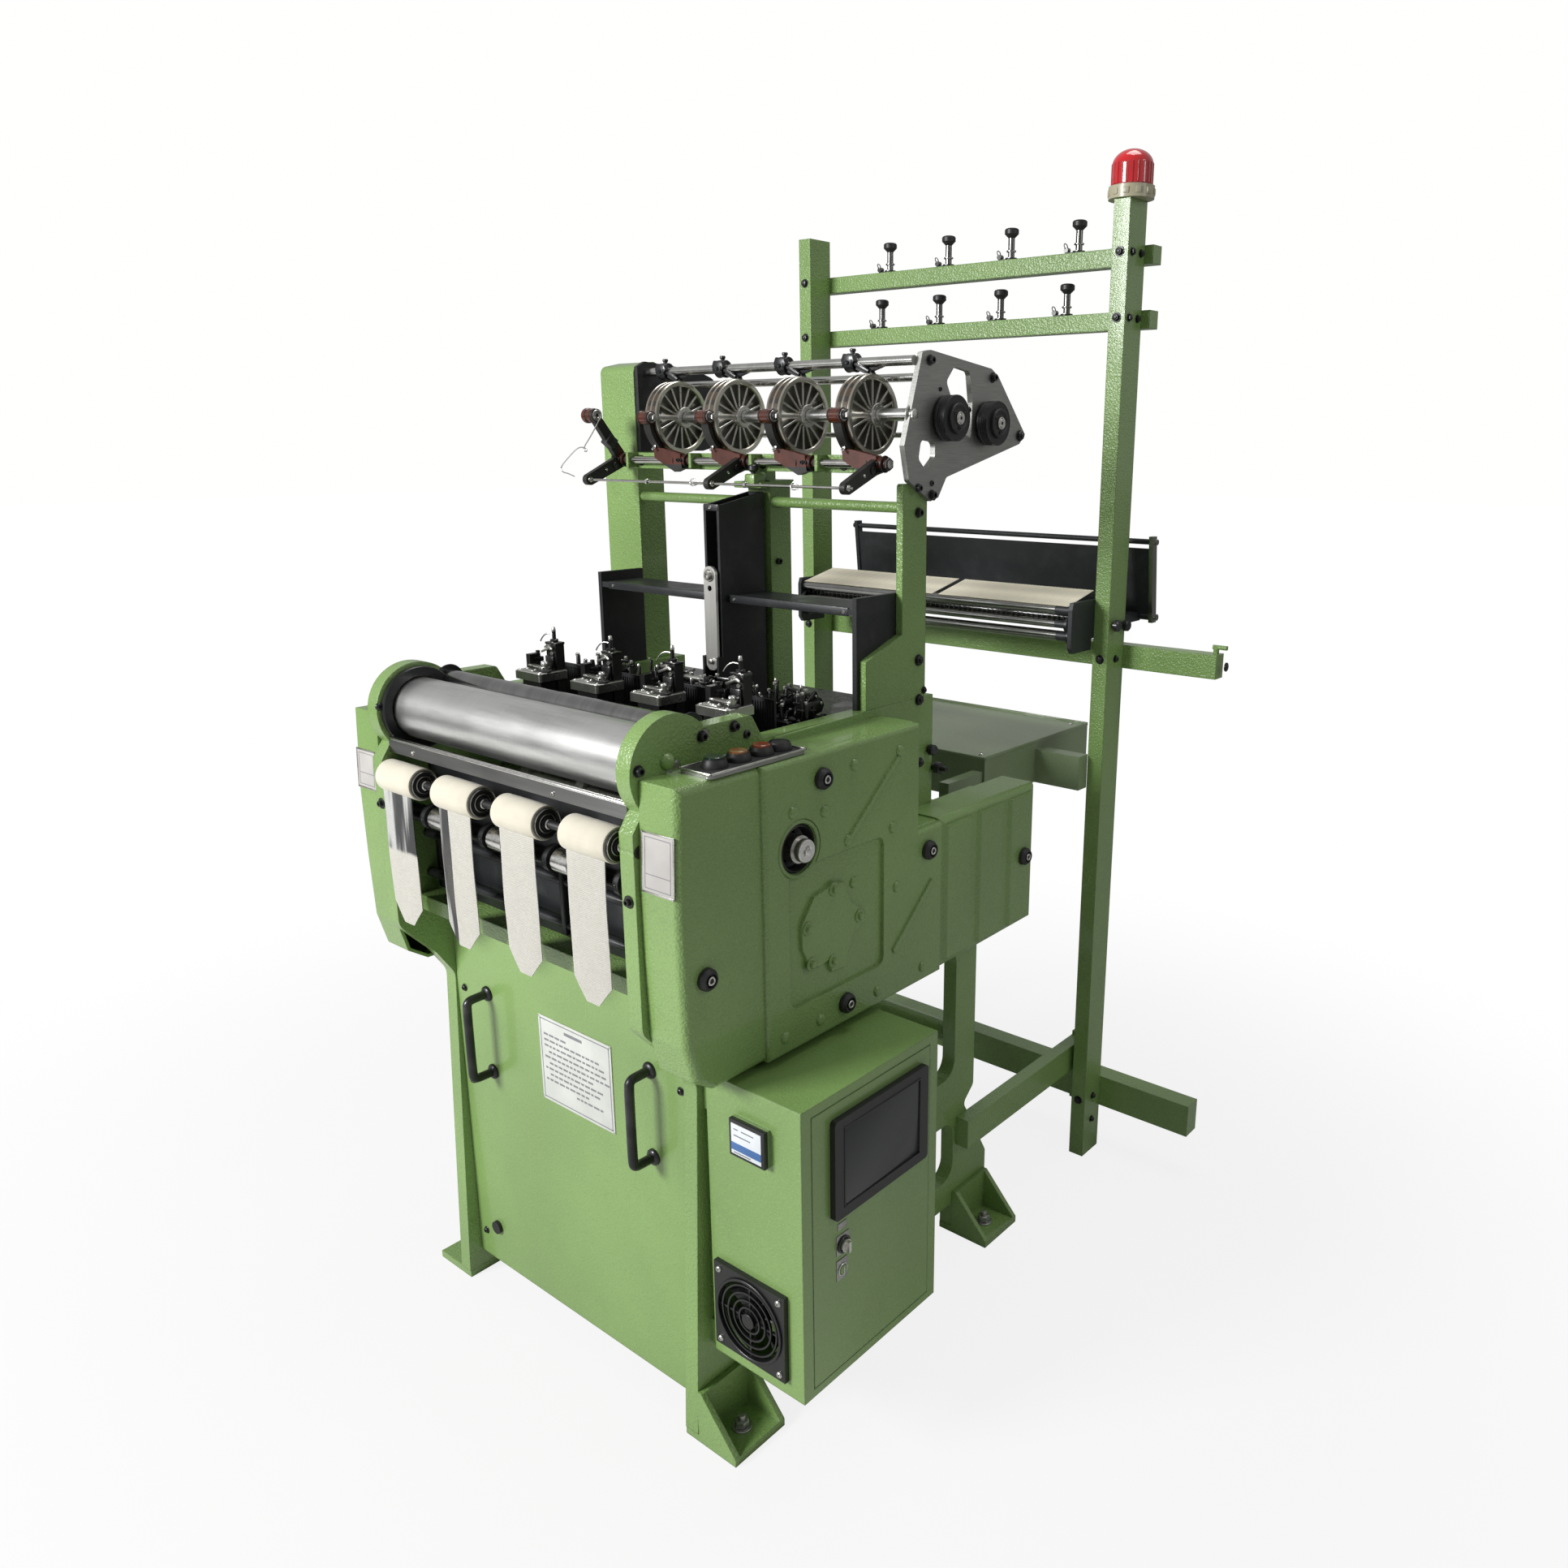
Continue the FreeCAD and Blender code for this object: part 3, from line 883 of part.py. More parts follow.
rails = [box("-post_left - 6", "post_half + 16", POST_REAR, POST_REAR + " + rail_deep", z,
             z + " + creel_rail_high") for z in ("top_rail_z", "low_rail_z")]
piece("creel_top_rails", fuse(*rails))
mid_rail = box("-post_left - 16", "mid_rail_end", POST_REAR, POST_REAR + " + rail_deep", "mid_rail_z",
               "mid_rail_z + mid_rail_high")
handle = [rod("z", "mid_rail_z + mid_rail_high", "mid_rail_z + mid_rail_high + 14", "mid_rail_end - 8",
              POST_REAR + " + rail_deep / 2", "5"),
          rod("x", "mid_rail_end - 14", "mid_rail_end + 12", POST_REAR + " + rail_deep / 2",
              "mid_rail_z + mid_rail_high + 12", "4")]
piece("creel_mid_rail", fuse(mid_rail, *handle))

tension = []
for z, shift in (("top_rail_z + creel_rail_high", "0"), ("low_rail_z + creel_rail_high", "tension_shift")):
    for k in range(4):
        x = "tension_x + %s + %d * tension_pitch" % (shift, k)
        y = POST_REAR + " + rail_deep / 2"
        tension += [rod("z", z, z + " + 4", x, y, "11"),
                    rod("z", z + " + 3", z + " + pin_high", x, y, "pin_r"),
                    taper(z + " + pin_high - 8", z + " + pin_high - 1", x, y, "pin_r", "cap_r"),
                    rod("z", z + " + pin_high - 1", z + " + pin_high + 6", x, y, "cap_r"),
                    box(x + " - 26", x, y + " - 4", y + " + 4", z, z + " + 3"),
                    rod("y", y + " - 5", y + " + 5", x + " - 24", z + " + 7", "4.5")]
piece("thread_tensioners", fuse(*tension))

cross = box("-base_end", "base_end", POST_REAR, POST_REAR + " + base_deep", "base_z", "base_z + base_high")
arms = [box(a, b, "rear_leg_in + 8", POST_REAR, "link_beam_z", "link_beam_z + link_beam_high")
        for a, b in (("frame_half", "frame_half + link_beam_w"), ("-frame_left - link_beam_w", "-frame_left"))]
joints = [box(a, b, POST_REAR + " - 8", POST_REAR, "base_z", "link_beam_z + link_beam_high + 8")
          for a, b in (("frame_half", "post_half - post_w"), ("-post_left + post_w", "-frame_left"))]
piece("creel_base", fuse(cross, *arms, *joints))

# ---------------------------------------------------------------- table
top = box("-table_half", "table_half", "table_front", "table_rear", "table_z - table_t", "table_z")
tray = box("-table_half + table_t", "table_half - table_t", "table_front + table_t",
           "table_rear - table_t", "table_z - table_apron - 1", "table_z - table_t")
skirts = cut(box("-table_half", "table_half", "table_front", "table_rear", "table_z - table_apron",
                 "table_z - table_t"), tray)
stays = [box(a, b, "frame_rear - 10", "table_front + 40", "table_z - table_apron", "table_z - table_t - 20")
         for a, b in (("-table_half + 4", "-table_half + 24"), ("table_half - 24", "table_half - 4"))]
bridge = [box(a, b, "table_front + 170", "table_front + 200", "table_z - table_apron", "table_z - 14")
          for a, b in (("table_half", "post_half - post_w"), ("-post_left + post_w", "-table_half"))]
piece("table", fuse(top, skirts, *stays, *bridge))

# ---------------------------------------------------------------- stop motion with the warp sheets
STOP_REAR = "(stop_y + stop_deep)"
ends = []
for a, b in (("stop_half", "stop_half + stop_t"), ("-stop_left - stop_t", "-stop_left")):
    ends.append(outline("x", [("stop_y + 8", "stop_low"), (STOP_REAR, "stop_low"),
                              (STOP_REAR, "stop_low + 20"), ("post_y + post_deep / 2", "stop_low + 20"),
                              ("post_y + post_deep / 2", "stop_top"),
                              ("stop_y + 4", "stop_top"), ("stop_y", "stop_top - 12"),
                              ("stop_y", "stop_low + 10")], a, b))
# the warp sheets lie on the front bar, whose height follows their slope
SHEET_AT_BAR = ("(sheet_low + (sheet_high - sheet_low) * (stop_y + 14 - sheet_front)"
                " / (sheet_rear - sheet_front) - 1.026 * (stop_bar_r + seat_gap))")
bars = [rod("x", "-stop_left", "stop_half", y, z, r) for y, z, r in (
    ("stop_y + 14", SHEET_AT_BAR, "stop_bar_r"), ("stop_y + 12", "stop_top - 40", "stop_bar_r - 2"),
    ("stop_y + 20", "stop_top - 62", "stop_bar_r"), ("stop_y + 52", "stop_top - 34", "stop_bar_r"))]
back_arms = [outline("x", [("back_y + back_lean", "back_low - 8"), ("back_y + back_lean + 16", "back_low - 8"),
                           ("back_y + 16", "arm_top"), ("back_y", "arm_top")], a, b)
             for a, b in (("-stop_left - 4", "-stop_left + 4"), ("post_half + 20", "post_half + 28"))]
back = outline("x", [("back_y + back_lean + 4", "back_low"), ("back_y + back_lean + 8", "back_low"),
                     ("back_y + 8", "back_top"), ("back_y + 4", "back_top")],
               "-stop_left + 4", "post_half + 20")
back_rods = [rod("x", "-stop_left - 10", "post_half + 34", "back_y + 8", "arm_top - 10", "5"),
             rod("x", "-post_left", "post_half + 34", "back_y + back_lean + 7", "back_low + 2", "6")]
brackets = [box(a, b, POST_REAR, "back_y + back_lean + 6", "back_low - 6", "back_low + 10")
            for a, b in (("post_half - post_w", "post_half"), ("-post_left", "-post_left + post_w"))]
# the left creel post stands further out, so a block joins it to the frame's end plate
brackets.append(box("-post_left + post_w", "-stop_left - stop_t", "post_y + 6", "post_y + 26",
                    "stop_low + 26", "stop_low + 58"))
piece("stop_motion_frame", fuse(*ends, *bars, *back_arms, back, *back_rods, *brackets))

sheets = []
for a, b in (("-stop_left + 4", "-sheet_gap / 2 + 22"), ("sheet_gap / 2 + 22", "stop_half - 4")):
    sheets.append(outline("x", [("sheet_front", "sheet_low"), ("sheet_rear", "sheet_high"),
                                ("sheet_rear", "sheet_high + sheet_t"), ("sheet_front", "sheet_low + sheet_t")],
                          a, b))
piece("warp_sheets", fuse(*sheets))

# ---------------------------------------------------------------- signal lamp on the right post
piece("beacon_base", rod("z", "post_top", "post_top + lamp_ring", "lamp_x", "lamp_y", "lamp_r"))
crown = doc.addObject("Part::Ellipsoid", "crown")
crown.setExpression("Radius1", bound("dome_crown"))
crown.setExpression("Radius2", bound("dome_r"))
crown.setExpression("Radius3", bound("dome_r"))
crown.Angle1 = 0
place(crown, "lamp_x", "lamp_y", "post_top + lamp_ring + dome_high - dome_crown")
dome = fuse(rod("z", "post_top + lamp_ring", "post_top + lamp_ring + dome_high - dome_crown", "lamp_x",
                "lamp_y", "dome_r"), crown)
piece("beacon_dome", dome)

# ---------------------------------------------------------------- visible bolts
BOLTS_X = [("head_out", "shaft_y + 37", "shaft_z + 76", 7), ("head_out", "shaft_y + 199", "shaft_z + 58", 7),
           ("head_out", "shaft_y + 280", "shaft_z - 28", 8), ("head_out", "shaft_y + 11", "shaft_z - 103", 6),
           ("head_out", "shaft_y + 45", "shaft_z - 114", 7),
           ("frame_half", "col_y + 36", "col_top - 42", 7),
           ("frame_half", "col_y + 40", "col_top - 263", 8),
           ("frame_half", "col_y + 42", "col_top - 325", 8),
           ("frame_half", "drum_y + 48", "drum_z + 32", 7), ("frame_half", "drum_y + 105", "drum_z + 35", 7),
           ("frame_half", "drum_y - 56", "drum_z + 8", 7)]
bolts = [rod("x", x, x + " + %g" % (r * 0.8), y, z, str(r)) for x, y, z, r in BOLTS_X]
LEFT_SCREWS, RIGHT_SCREWS = MINUS_INNER + " + 21", INNER + " - 9"
bolts += [rod("y", "panel_y - panel_t - 4", "panel_y - panel_t", x, z, "5")
          for x, z in ((LEFT_SCREWS, "panel_low + 331"), (RIGHT_SCREWS, "panel_top - 142"),
                       (RIGHT_SCREWS, "panel_low + 58"), (LEFT_SCREWS, "panel_top - 140"),
                       (LEFT_SCREWS, "panel_low + 46"))]
bolts += [rod("y", "post_y - 6", "post_y", x, z, "7") for z in ("top_rail_z + 15", "low_rail_z + 15",
                                                                 "mid_rail_z + 22", "base_z + 32")
          for x in ("post_half - post_w / 2", "-post_left + post_w / 2")]
piece("fasteners", fuse(*bolts))

# ---------------------------------------------------------------- check and write
doc.recompute()
for obj in doc.Objects:
    if "Invalid" in obj.State or "Error" in obj.State:
        raise RuntimeError("%s (%s) did not build: %s" % (obj.Label, obj.Name, obj.State))
os.makedirs("parts", exist_ok=True)
for name, obj in PIECES.items():
    shape = obj.Shape
    if shape.isNull() or not shape.isValid() or not shape.Solids:
        raise RuntimeError("%s has no valid solid" % name)
    shape.exportStep("parts/%s.step" % name)
print(len(PIECES), "pieces")
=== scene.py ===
import math
import random

import bmesh
import bpy
from mathutils import Matrix, Vector


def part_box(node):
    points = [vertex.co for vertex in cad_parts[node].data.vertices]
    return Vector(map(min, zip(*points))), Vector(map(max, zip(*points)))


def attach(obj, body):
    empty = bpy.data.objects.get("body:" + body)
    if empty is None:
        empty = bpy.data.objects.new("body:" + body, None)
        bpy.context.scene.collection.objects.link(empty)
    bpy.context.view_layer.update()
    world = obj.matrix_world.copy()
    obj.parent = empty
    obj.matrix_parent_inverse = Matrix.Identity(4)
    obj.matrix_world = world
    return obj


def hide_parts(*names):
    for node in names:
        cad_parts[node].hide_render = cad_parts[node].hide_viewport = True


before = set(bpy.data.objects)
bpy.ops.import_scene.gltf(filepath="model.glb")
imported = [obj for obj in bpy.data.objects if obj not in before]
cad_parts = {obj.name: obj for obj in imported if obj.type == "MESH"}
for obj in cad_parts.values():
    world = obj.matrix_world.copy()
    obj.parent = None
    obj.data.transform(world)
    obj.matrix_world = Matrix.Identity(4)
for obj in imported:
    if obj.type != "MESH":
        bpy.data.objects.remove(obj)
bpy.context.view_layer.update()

# Lengths below are in millimetres, measured like the solids: x to the control box's side,
# y to the back, z up. A finished piece is scaled to metres.
MM = 0.001
X, Y, Z = Vector((1, 0, 0)), Vector((0, 1, 0)), Vector((0, 0, 1))


def edge(node, axis, side):
    """The low (0) or high (1) edge of a solid along an axis, in millimetres."""
    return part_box(node)[side][axis] / MM


# Side frames, covers and boxes
FRAME_RIGHT, FRAME_LEFT = edge("side_frame_right", 0, 1), edge("side_frame_left", 0, 0)
INNER_RIGHT, INNER_LEFT = edge("side_frame_right", 0, 0), edge("side_frame_left", 0, 1)
COVER_FACE, PANEL_Y = 367.0, -336.0
BOX_FRONT, BOX_SIDE = -332.0, 473.0
HANDLE_Z, HANDLE_HALF = 480, 68
FAN_X, FAN_Z = 379, 236
BUTTON_X, BUTTON_Z = 329, 1004
BUTTONS = [-322.25 + 41 * k for k in range(3)]
SPARE_BUTTON = BUTTONS[2] + 34

# Fabric end
DRUM_Y, DRUM_Z, DRUM_R = -356.0, 1003.0, 46.0
PRESS_Y, PRESS_Z = -302.0, 1036.2
ROLL_Y, ROLL_Z, ROLL_R = -416.0, 910.0, 24.0
GUIDE_Y, GUIDE_Z = -402, 857
TAPES = [-234.5 + 145 * k for k in range(4)]
TAPE_TOP, TAPE_TIP, TAPE_HALF, TAPE_POINT = 892.0, 686.0, 38.0, 30.0

# Bed and shafts
LANE_STEP = 137.5
LANES = [LANE_STEP * (k - 1.5) for k in range(4)]
BED_Z, PLATE_Z = 992.0, 1043.0
PIVOT_X, PIVOT_Y = 22, -192
MAIN_Y, MAIN_Z = -211, 876

# Head
WHEELS = [lane + 6 for lane in LANES]
SHAFT_Y, SHAFT_Z, WHEEL_R = 115.0, 1431.0, 56.0
LEVER_Y, LEVER_Z = 81.0, 1362.0
BOSSES = [-306.0] + [wheel + 50 for wheel in WHEELS]
ROLLER_Y, ROLLER_Z = 48.5, 1430
EYE_Y, EYE_Z = 26, 1434
RELEASE_Y, RELEASE_Z = 8, 1330
HEAD_RODS = ((127, 1506, 7.3), (168, 1485, 6.3), (182, 1403, 4.3))
CLAMP_Y, CLAMP_Z, _ = HEAD_RODS[0]
HEAD_FACE = 300
PULLEYS = (("pulley_front", 191, 1427), ("pulley_rear", 300, 1421))

# Creel
POST_FRONT, POST_SIDE = 625.0, 355
POST_SIDES = ((POST_SIDE, X), (-383, -X))
POSTS_X, RAILS_Z, MID_RAIL_Z = (340, -368), (1701, 1597), 1012
BEACON_X, BEACON_Y = POSTS_X[0], 655
PIN_Y, PIN_ROWS = 700, ((1716, -208), (1612, -228))
TABLE_X, TABLE_FRONT, TABLE_BACK, TABLE_Z = 231, 423, 791, 851


# ---- shader maths
def joined(operation, swapped=False):
    """A method that joins a wire and what it is given in one Math node."""
    def method(self, other=None):
        first, second = (other, self) if swapped else (self, other)
        sockets = {0: first} if second is None else {0: first, 1: second}
        return self.nodes.add("ShaderNodeMath", {"operation": operation}, sockets)
    return method


class Wire:
    """One output of a shader node. Sums and products of wires add Math nodes."""

    def __init__(self, nodes, socket):
        self.nodes, self.socket = nodes, socket

    __add__ = __radd__ = joined("ADD")
    __mul__ = __rmul__ = joined("MULTIPLY")
    __sub__, __rsub__ = joined("SUBTRACT"), joined("SUBTRACT", True)
    __pow__, __gt__, __lt__ = joined("POWER"), joined("GREATER_THAN"), joined("LESS_THAN")
    least, most = joined("MINIMUM"), joined("MAXIMUM")
    wave, size = joined("SINE"), joined("ABSOLUTE")

    def ramp(self, low, high):
        """0 below low, 1 above high, smooth between."""
        return self.nodes.add("ShaderNodeMapRange", {"interpolation_type": "SMOOTHSTEP"},
                              {"Value": self, "From Min": low, "From Max": high})


class Nodes:
    """A node tree, and one way to add any node to it."""

    def __init__(self, tree):
        self.tree = tree

    def add(self, kind, settings=None, sockets=None, out=0):
        node = self.tree.nodes.new(kind)
        for key, value in (settings or {}).items():
            setattr(node, key, value)
        for key, value in (sockets or {}).items():
            self.feed(node.inputs[key], value)
        return Wire(self, node.outputs[out])

    def feed(self, socket, value):
        if isinstance(value, Wire):
            self.tree.links.new(value.socket, socket)
        else:
            socket.default_value = value


class Finish(Nodes):
    """A material with one Principled shader, and short ways to feed it."""

    def __init__(self, name):
        self.material = bpy.data.materials.new(name)
        self.material.use_nodes = True
        super().__init__(self.material.node_tree)
        self.shader = self.tree.nodes["Principled BSDF"]
        self.place = self.add("ShaderNodeTexCoord", out="Object")
        parted = self.add("ShaderNodeSeparateXYZ", None, {0: self.place}).socket.node
        self.x, self.y, self.z = (Wire(self, parted.outputs[axis]) for axis in "XYZ")

    def made(self, **values):
        """Feeds the shader's sockets and hands over the material."""
        for key, value in values.items():
            self.feed(self.shader.inputs[key.replace("_", " ")], value)
        return self.material

    def noise(self, scale, detail=2.0, stretch=None, rough=0.5):
        where = self.place
        if stretch:
            where = self.add("ShaderNodeMapping", None, {"Vector": where, "Scale": stretch})
        return self.add("ShaderNodeTexNoise", None,
                        {"Vector": where, "Scale": scale, "Detail": detail, "Roughness": rough})

    def mix(self, factor, first, second):
        return self.add("ShaderNodeMix", {"data_type": "RGBA"}, {0: factor, 6: first, 7: second}, out=2)

    def relief(self, height, depth, strength=1.0, under=None):
        sockets = {"Height": height, "Distance": depth, "Strength": strength}
        if under is not None:
            sockets["Normal"] = under
        return self.add("ShaderNodeBump", None, sockets)


# ---- the work bench
def facing(direction, at=(0, 0, 0)):
    """Turns a shape's own z along a direction and carries it to a place."""
    turn = Vector(direction).to_track_quat("Z", "Y").to_matrix().to_4x4()
    return Matrix.Translation(Vector(at)) @ turn


def turned(at, angle, axis="X"):
    """Carries a shape to a place, turned about an axis."""
    return Matrix.Translation(at) @ Matrix.Rotation(angle, 4, axis)


def across(axis, at=0.0):
    """Lays a flat outline drawn in its own x and y across an axis, at a distance along it."""
    rows = {"x": ((0, 0, 1, at), (1, 0, 0, 0), (0, 1, 0, 0)),
            "y": ((1, 0, 0, 0), (0, 0, 1, at), (0, 1, 0, 0)),
            "z": ((1, 0, 0, 0), (0, 1, 0, 0), (0, 0, 1, at))}[axis]
    return Matrix(rows + ((0, 0, 0, 1),))


def round_about(y, z, r, count, start=0.0):
    """The y and z of evenly spaced points on a circle round a line along x."""
    leans = [math.tau * turn / count + start for turn in range(count)]
    return [(y + r * math.cos(lean), z + r * math.sin(lean)) for lean in leans]


def border(a0, a1, b0, b1, wide, short=0.0):
    """The four strips of a rectangle's border. short draws in the two that lie along b."""
    return ((a0, a1, b0, b0 + wide), (a0, a1, b1 - wide, b1),
            (a0, a0 + wide, b0 + short, b1 - short), (a1 - wide, a1, b0 + short, b1 - short))


def rounded(x0, y0, x1, y1, r, steps=5):
    """The corners of a rounded rectangle, as an outline."""
    points = []
    for cx, cy, start in ((x1 - r, y1 - r, 0), (x0 + r, y1 - r, 90), (x0 + r, y0 + r, 180), (x1 - r, y0 + r, 270)):
        for i in range(steps + 1):
            lean = math.radians(start + 90 * i / steps)
            points.append((cx + r * math.cos(lean), cy + r * math.sin(lean)))
    return points


def soften(part, edges, soft, segments=2):
    if soft and edges:
        bmesh.ops.bevel(part, geom=edges, offset=soft, offset_type="OFFSET", segments=segments, profile=0.5,
                        affect="EDGES", material=-1, clamp_overlap=True)


class Bench:
    """A piece in the making: shapes are added in millimetres, and done() sets it on its body."""
    begun = []

    def __init__(self, name, finish, body="frame", instead_of=None, sharp=32.0):
        self.name, self.finish, self.body = name, finish, body
        self.instead_of, self.sharp = instead_of, sharp
        self.mesh = bmesh.new()
        Bench.begun.append(self)

    def add(self, part, place=None):
        if place is not None:
            bmesh.ops.transform(part, matrix=place, verts=part.verts)
        bmesh.ops.recalc_face_normals(part, faces=part.faces)
        held = bpy.data.meshes.new("shape")
        part.to_mesh(held)
        part.free()
        self.mesh.from_mesh(held)
        bpy.data.meshes.remove(held)

    def block(self, low, high, soft=0.8, place=None, segments=2):
        part = bmesh.new()
        low, high = Vector(low), Vector(high)
        size = Matrix.Diagonal((*(high - low), 1.0))
        bmesh.ops.create_cube(part, size=1.0, matrix=Matrix.Translation((low + high) / 2) @ size)
        soften(part, part.edges[:], soft, segments)
        self.add(part, place)

    def bar(self, start, end, radius, tip=None, soft=0.5, sides=20):
        """A round bar, or a taper when tip is given, from start to end."""
        part = bmesh.new()
        start, end = Vector(start), Vector(end)
        bmesh.ops.create_cone(part, cap_ends=True, segments=sides, radius1=radius,
                              radius2=radius if tip is None else tip, depth=(end - start).length)
        rims = [e for e in part.edges if any(len(f.verts) > 4 for f in e.link_faces)]
        soften(part, rims, soft)
        self.add(part, facing(end - start, (start + end) / 2))

    def nut(self, at, along, r, high, soft=0.9):
        """A plain hexagon."""
        self.bar(at, Vector(at) + along * high, r, None, soft, 6)

    def spun(self, at, along, profile, sides=28):
        """A profile of (radius, height) pairs turned round a line. It is closed or ends on the line."""
        part = bmesh.new()
        corners = [part.verts.new((r, 0, h)) for r, h in profile]
        chain = [part.edges.new(pair) for pair in zip(corners, corners[1:])]
        if profile[0][0] > 0 and profile[-1][0] > 0:
            chain.append(part.edges.new((corners[-1], corners[0])))
        bmesh.ops.spin(part, geom=corners + chain, cent=(0, 0, 0), axis=(0, 0, 1), angle=math.tau,
                       steps=sides, use_merge=True, use_duplicate=False)
        bmesh.ops.remove_doubles(part, verts=part.verts, dist=0.0005)
        self.add(part, facing(along, at))

    def ring(self, at, along, inner, outer, high, soft=0.8, sides=36):
        s = min(soft, (outer - inner) / 3, high / 3)
        self.spun(at, along, [(inner, s), (inner + s, 0), (outer - s, 0), (outer, s), (outer, high - s),
                              (outer - s, high), (inner + s, high), (inner, high - s)], sides)

    def plate(self, points, thick, place, soft=0.6):
        """An outline with a thickness."""
        part = bmesh.new()
        face = part.faces.new([part.verts.new((a, b, 0)) for a, b in points])
        out = bmesh.ops.extrude_face_region(part, geom=[face])
        top = [v for v in out["geom"] if isinstance(v, bmesh.types.BMVert)]
        bmesh.ops.translate(part, vec=(0, 0, thick), verts=top)
        soften(part, [e for e in part.edges if e.is_manifold and e.calc_face_angle(0) > 0.5], soft)
        self.add(part, place)

    def wire(self, points, radius, sides=8):
        """A round wire or tube along a smooth line of points."""
        line = bpy.data.curves.new("line", "CURVE")
        line.dimensions, line.bevel_depth, line.use_fill_caps = "3D", radius, True
        line.bevel_resolution, line.resolution_u = sides // 4, 6
        path = line.splines.new("NURBS")
        path.points.add(len(points) - 1)
        for spot, point in zip(path.points, points):
            spot.co = (*point, 1.0)
        path.order_u, path.use_endpoint_u = 3, True
        holder = bpy.data.objects.new("line", line)
        mesh = bpy.data.meshes.new_from_object(holder)
        part = bmesh.new()
        part.from_mesh(mesh)
        bmesh.ops.remove_doubles(part, verts=part.verts, dist=0.0005)
        bpy.data.objects.remove(holder)
        bpy.data.curves.remove(line)
        bpy.data.meshes.remove(mesh)
        self.add(part)

    def screw(self, at, along, r, sides=20):
        """A button-head socket screw."""
        h = r * 0.62
        self.spun(at, along, [(0, h * 0.3), (r * 0.4, h * 0.3), (r * 0.44, h * 0.96), (r * 0.6, h),
                              (r * 0.88, h * 0.72), (r, h * 0.35), (r, 0), (0, 0)], sides)

    def cap_screw(self, at, along, r, sides=20):
        """A socket cap screw with a flat-topped head."""
        h = r * 1.1
        self.spun(at, along, [(0, h * 0.4), (r * 0.5, h * 0.4), (r * 0.54, h), (r * 0.9, h),
                              (r, h * 0.9), (r, 0), (0, 0)], sides)

    def hex_bolt(self, at, along, r):
        """A hexagon head on its washer, with the bolt's end standing out."""
        at, high = Vector(at), r * 0.8
        self.ring(at, along, r * 0.4, r * 1.35, r * 0.2, 0.3, 24)
        self.nut(at + along * r * 0.2, along, r, high, r * 0.12)
        self.bar(at + along * high, at + along * (high + r * 0.45), r * 0.55, r * 0.5, 0.4, 16)

    def done(self):
        Bench.begun.remove(self)
        bmesh.ops.scale(self.mesh, vec=(MM, MM, MM), verts=self.mesh.verts)
        mesh = bpy.data.meshes.new(self.name)
        self.mesh.to_mesh(mesh)
        self.mesh.free()
        mesh.shade_smooth()
        mesh.set_sharp_from_angle(angle=math.radians(self.sharp))
        mesh.materials.append(FINISHES[self.finish])
        made = bpy.data.objects.new(self.name, mesh)
        bpy.context.collection.objects.link(made)
        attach(made, self.body)
        if self.instead_of:
            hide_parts(self.instead_of)
        return made


# ---- finishes
def rgb(r, g, b):
    return (r, g, b, 1.0)


def shade(colour, by):
    return rgb(*[min(1.0, c * by) for c in colour[:3]])


def away(f, y, z):
    """Distance in metres from a line along x."""
    return ((f.y - y * MM) ** 2 + (f.z - z * MM) ** 2) ** 0.5


def lane_offset(x):
    """Distance in metres from the middle of the nearest lane."""
    return ((x.size() - LANE_STEP * MM).size() - LANE_STEP / 2 * MM).size()


def hammered(name, colour, rough=0.34, cell=340.0, lift=0.0016):
    """Hammer-finish enamel: small round dimples in a thick coat, with faint clouds, oil haze and painted glints as
    light specks.
    """
    f = Finish(name)
    clouds = f.noise(3.2, 4.0)
    glint_specks = f.noise(420.0, 1.0)
    dimples = f.add("ShaderNodeTexVoronoi", {"feature": "SMOOTH_F1"}, {"Vector": f.place, "Scale": cell}, "Distance")
    peel = f.noise(240.0, 2.0)
    worn_edges = f.add("ShaderNodeBevel", {"samples": 4}, {"Radius": 0.0035})
    tone = f.mix(clouds.ramp(0.32, 0.7), shade(colour, 0.9), shade(colour, 1.08))
    # painted glints: small specks lighter than the enamel, mixed into its colour
    tone = f.mix(glint_specks.ramp(0.55, 0.75) * 0.35, tone, shade(colour, 1.45))
    tone = f.mix(dimples.ramp(0.45, 0.75) * 0.25, tone, shade(colour, 0.72))
    grime = f.noise(11.0, 5.0, rough=0.65).ramp(0.62, 0.8)
    return f.made(Base_Color=f.mix(grime * 0.22, tone, shade(colour, 0.45)),
                  Roughness=clouds * 0.14 + (rough - 0.07) + grime * 0.12, Coat_Weight=0.5, Coat_Roughness=0.1,
                  Normal=f.relief(peel, 0.0008, 0.5, f.relief(dimples, lift, 0.6, worn_edges)))


def steel(name, colour, rough, grain, along=60.0, wear=0.0, fine=0.00012, uneven=0.16):
    """Bare metal with tool marks. grain stretches the marks along the way the tool ran."""
    f = Finish(name)
    marks = f.noise(1.0, 3.0, stretch=grain, rough=0.7)
    stain = f.noise(along, 3.0)
    tone = f.mix(marks.ramp(0.3, 0.72), shade(colour, 0.82), shade(colour, 1.1))
    return f.made(Base_Color=f.mix(stain.ramp(0.55, 0.8) * (0.25 + wear), tone, shade(colour, 0.5)), Metallic=1.0,
                  Roughness=marks * uneven + (rough - uneven / 2) + stain * uneven * 0.5,
                  Normal=f.relief(marks, fine, 0.5))


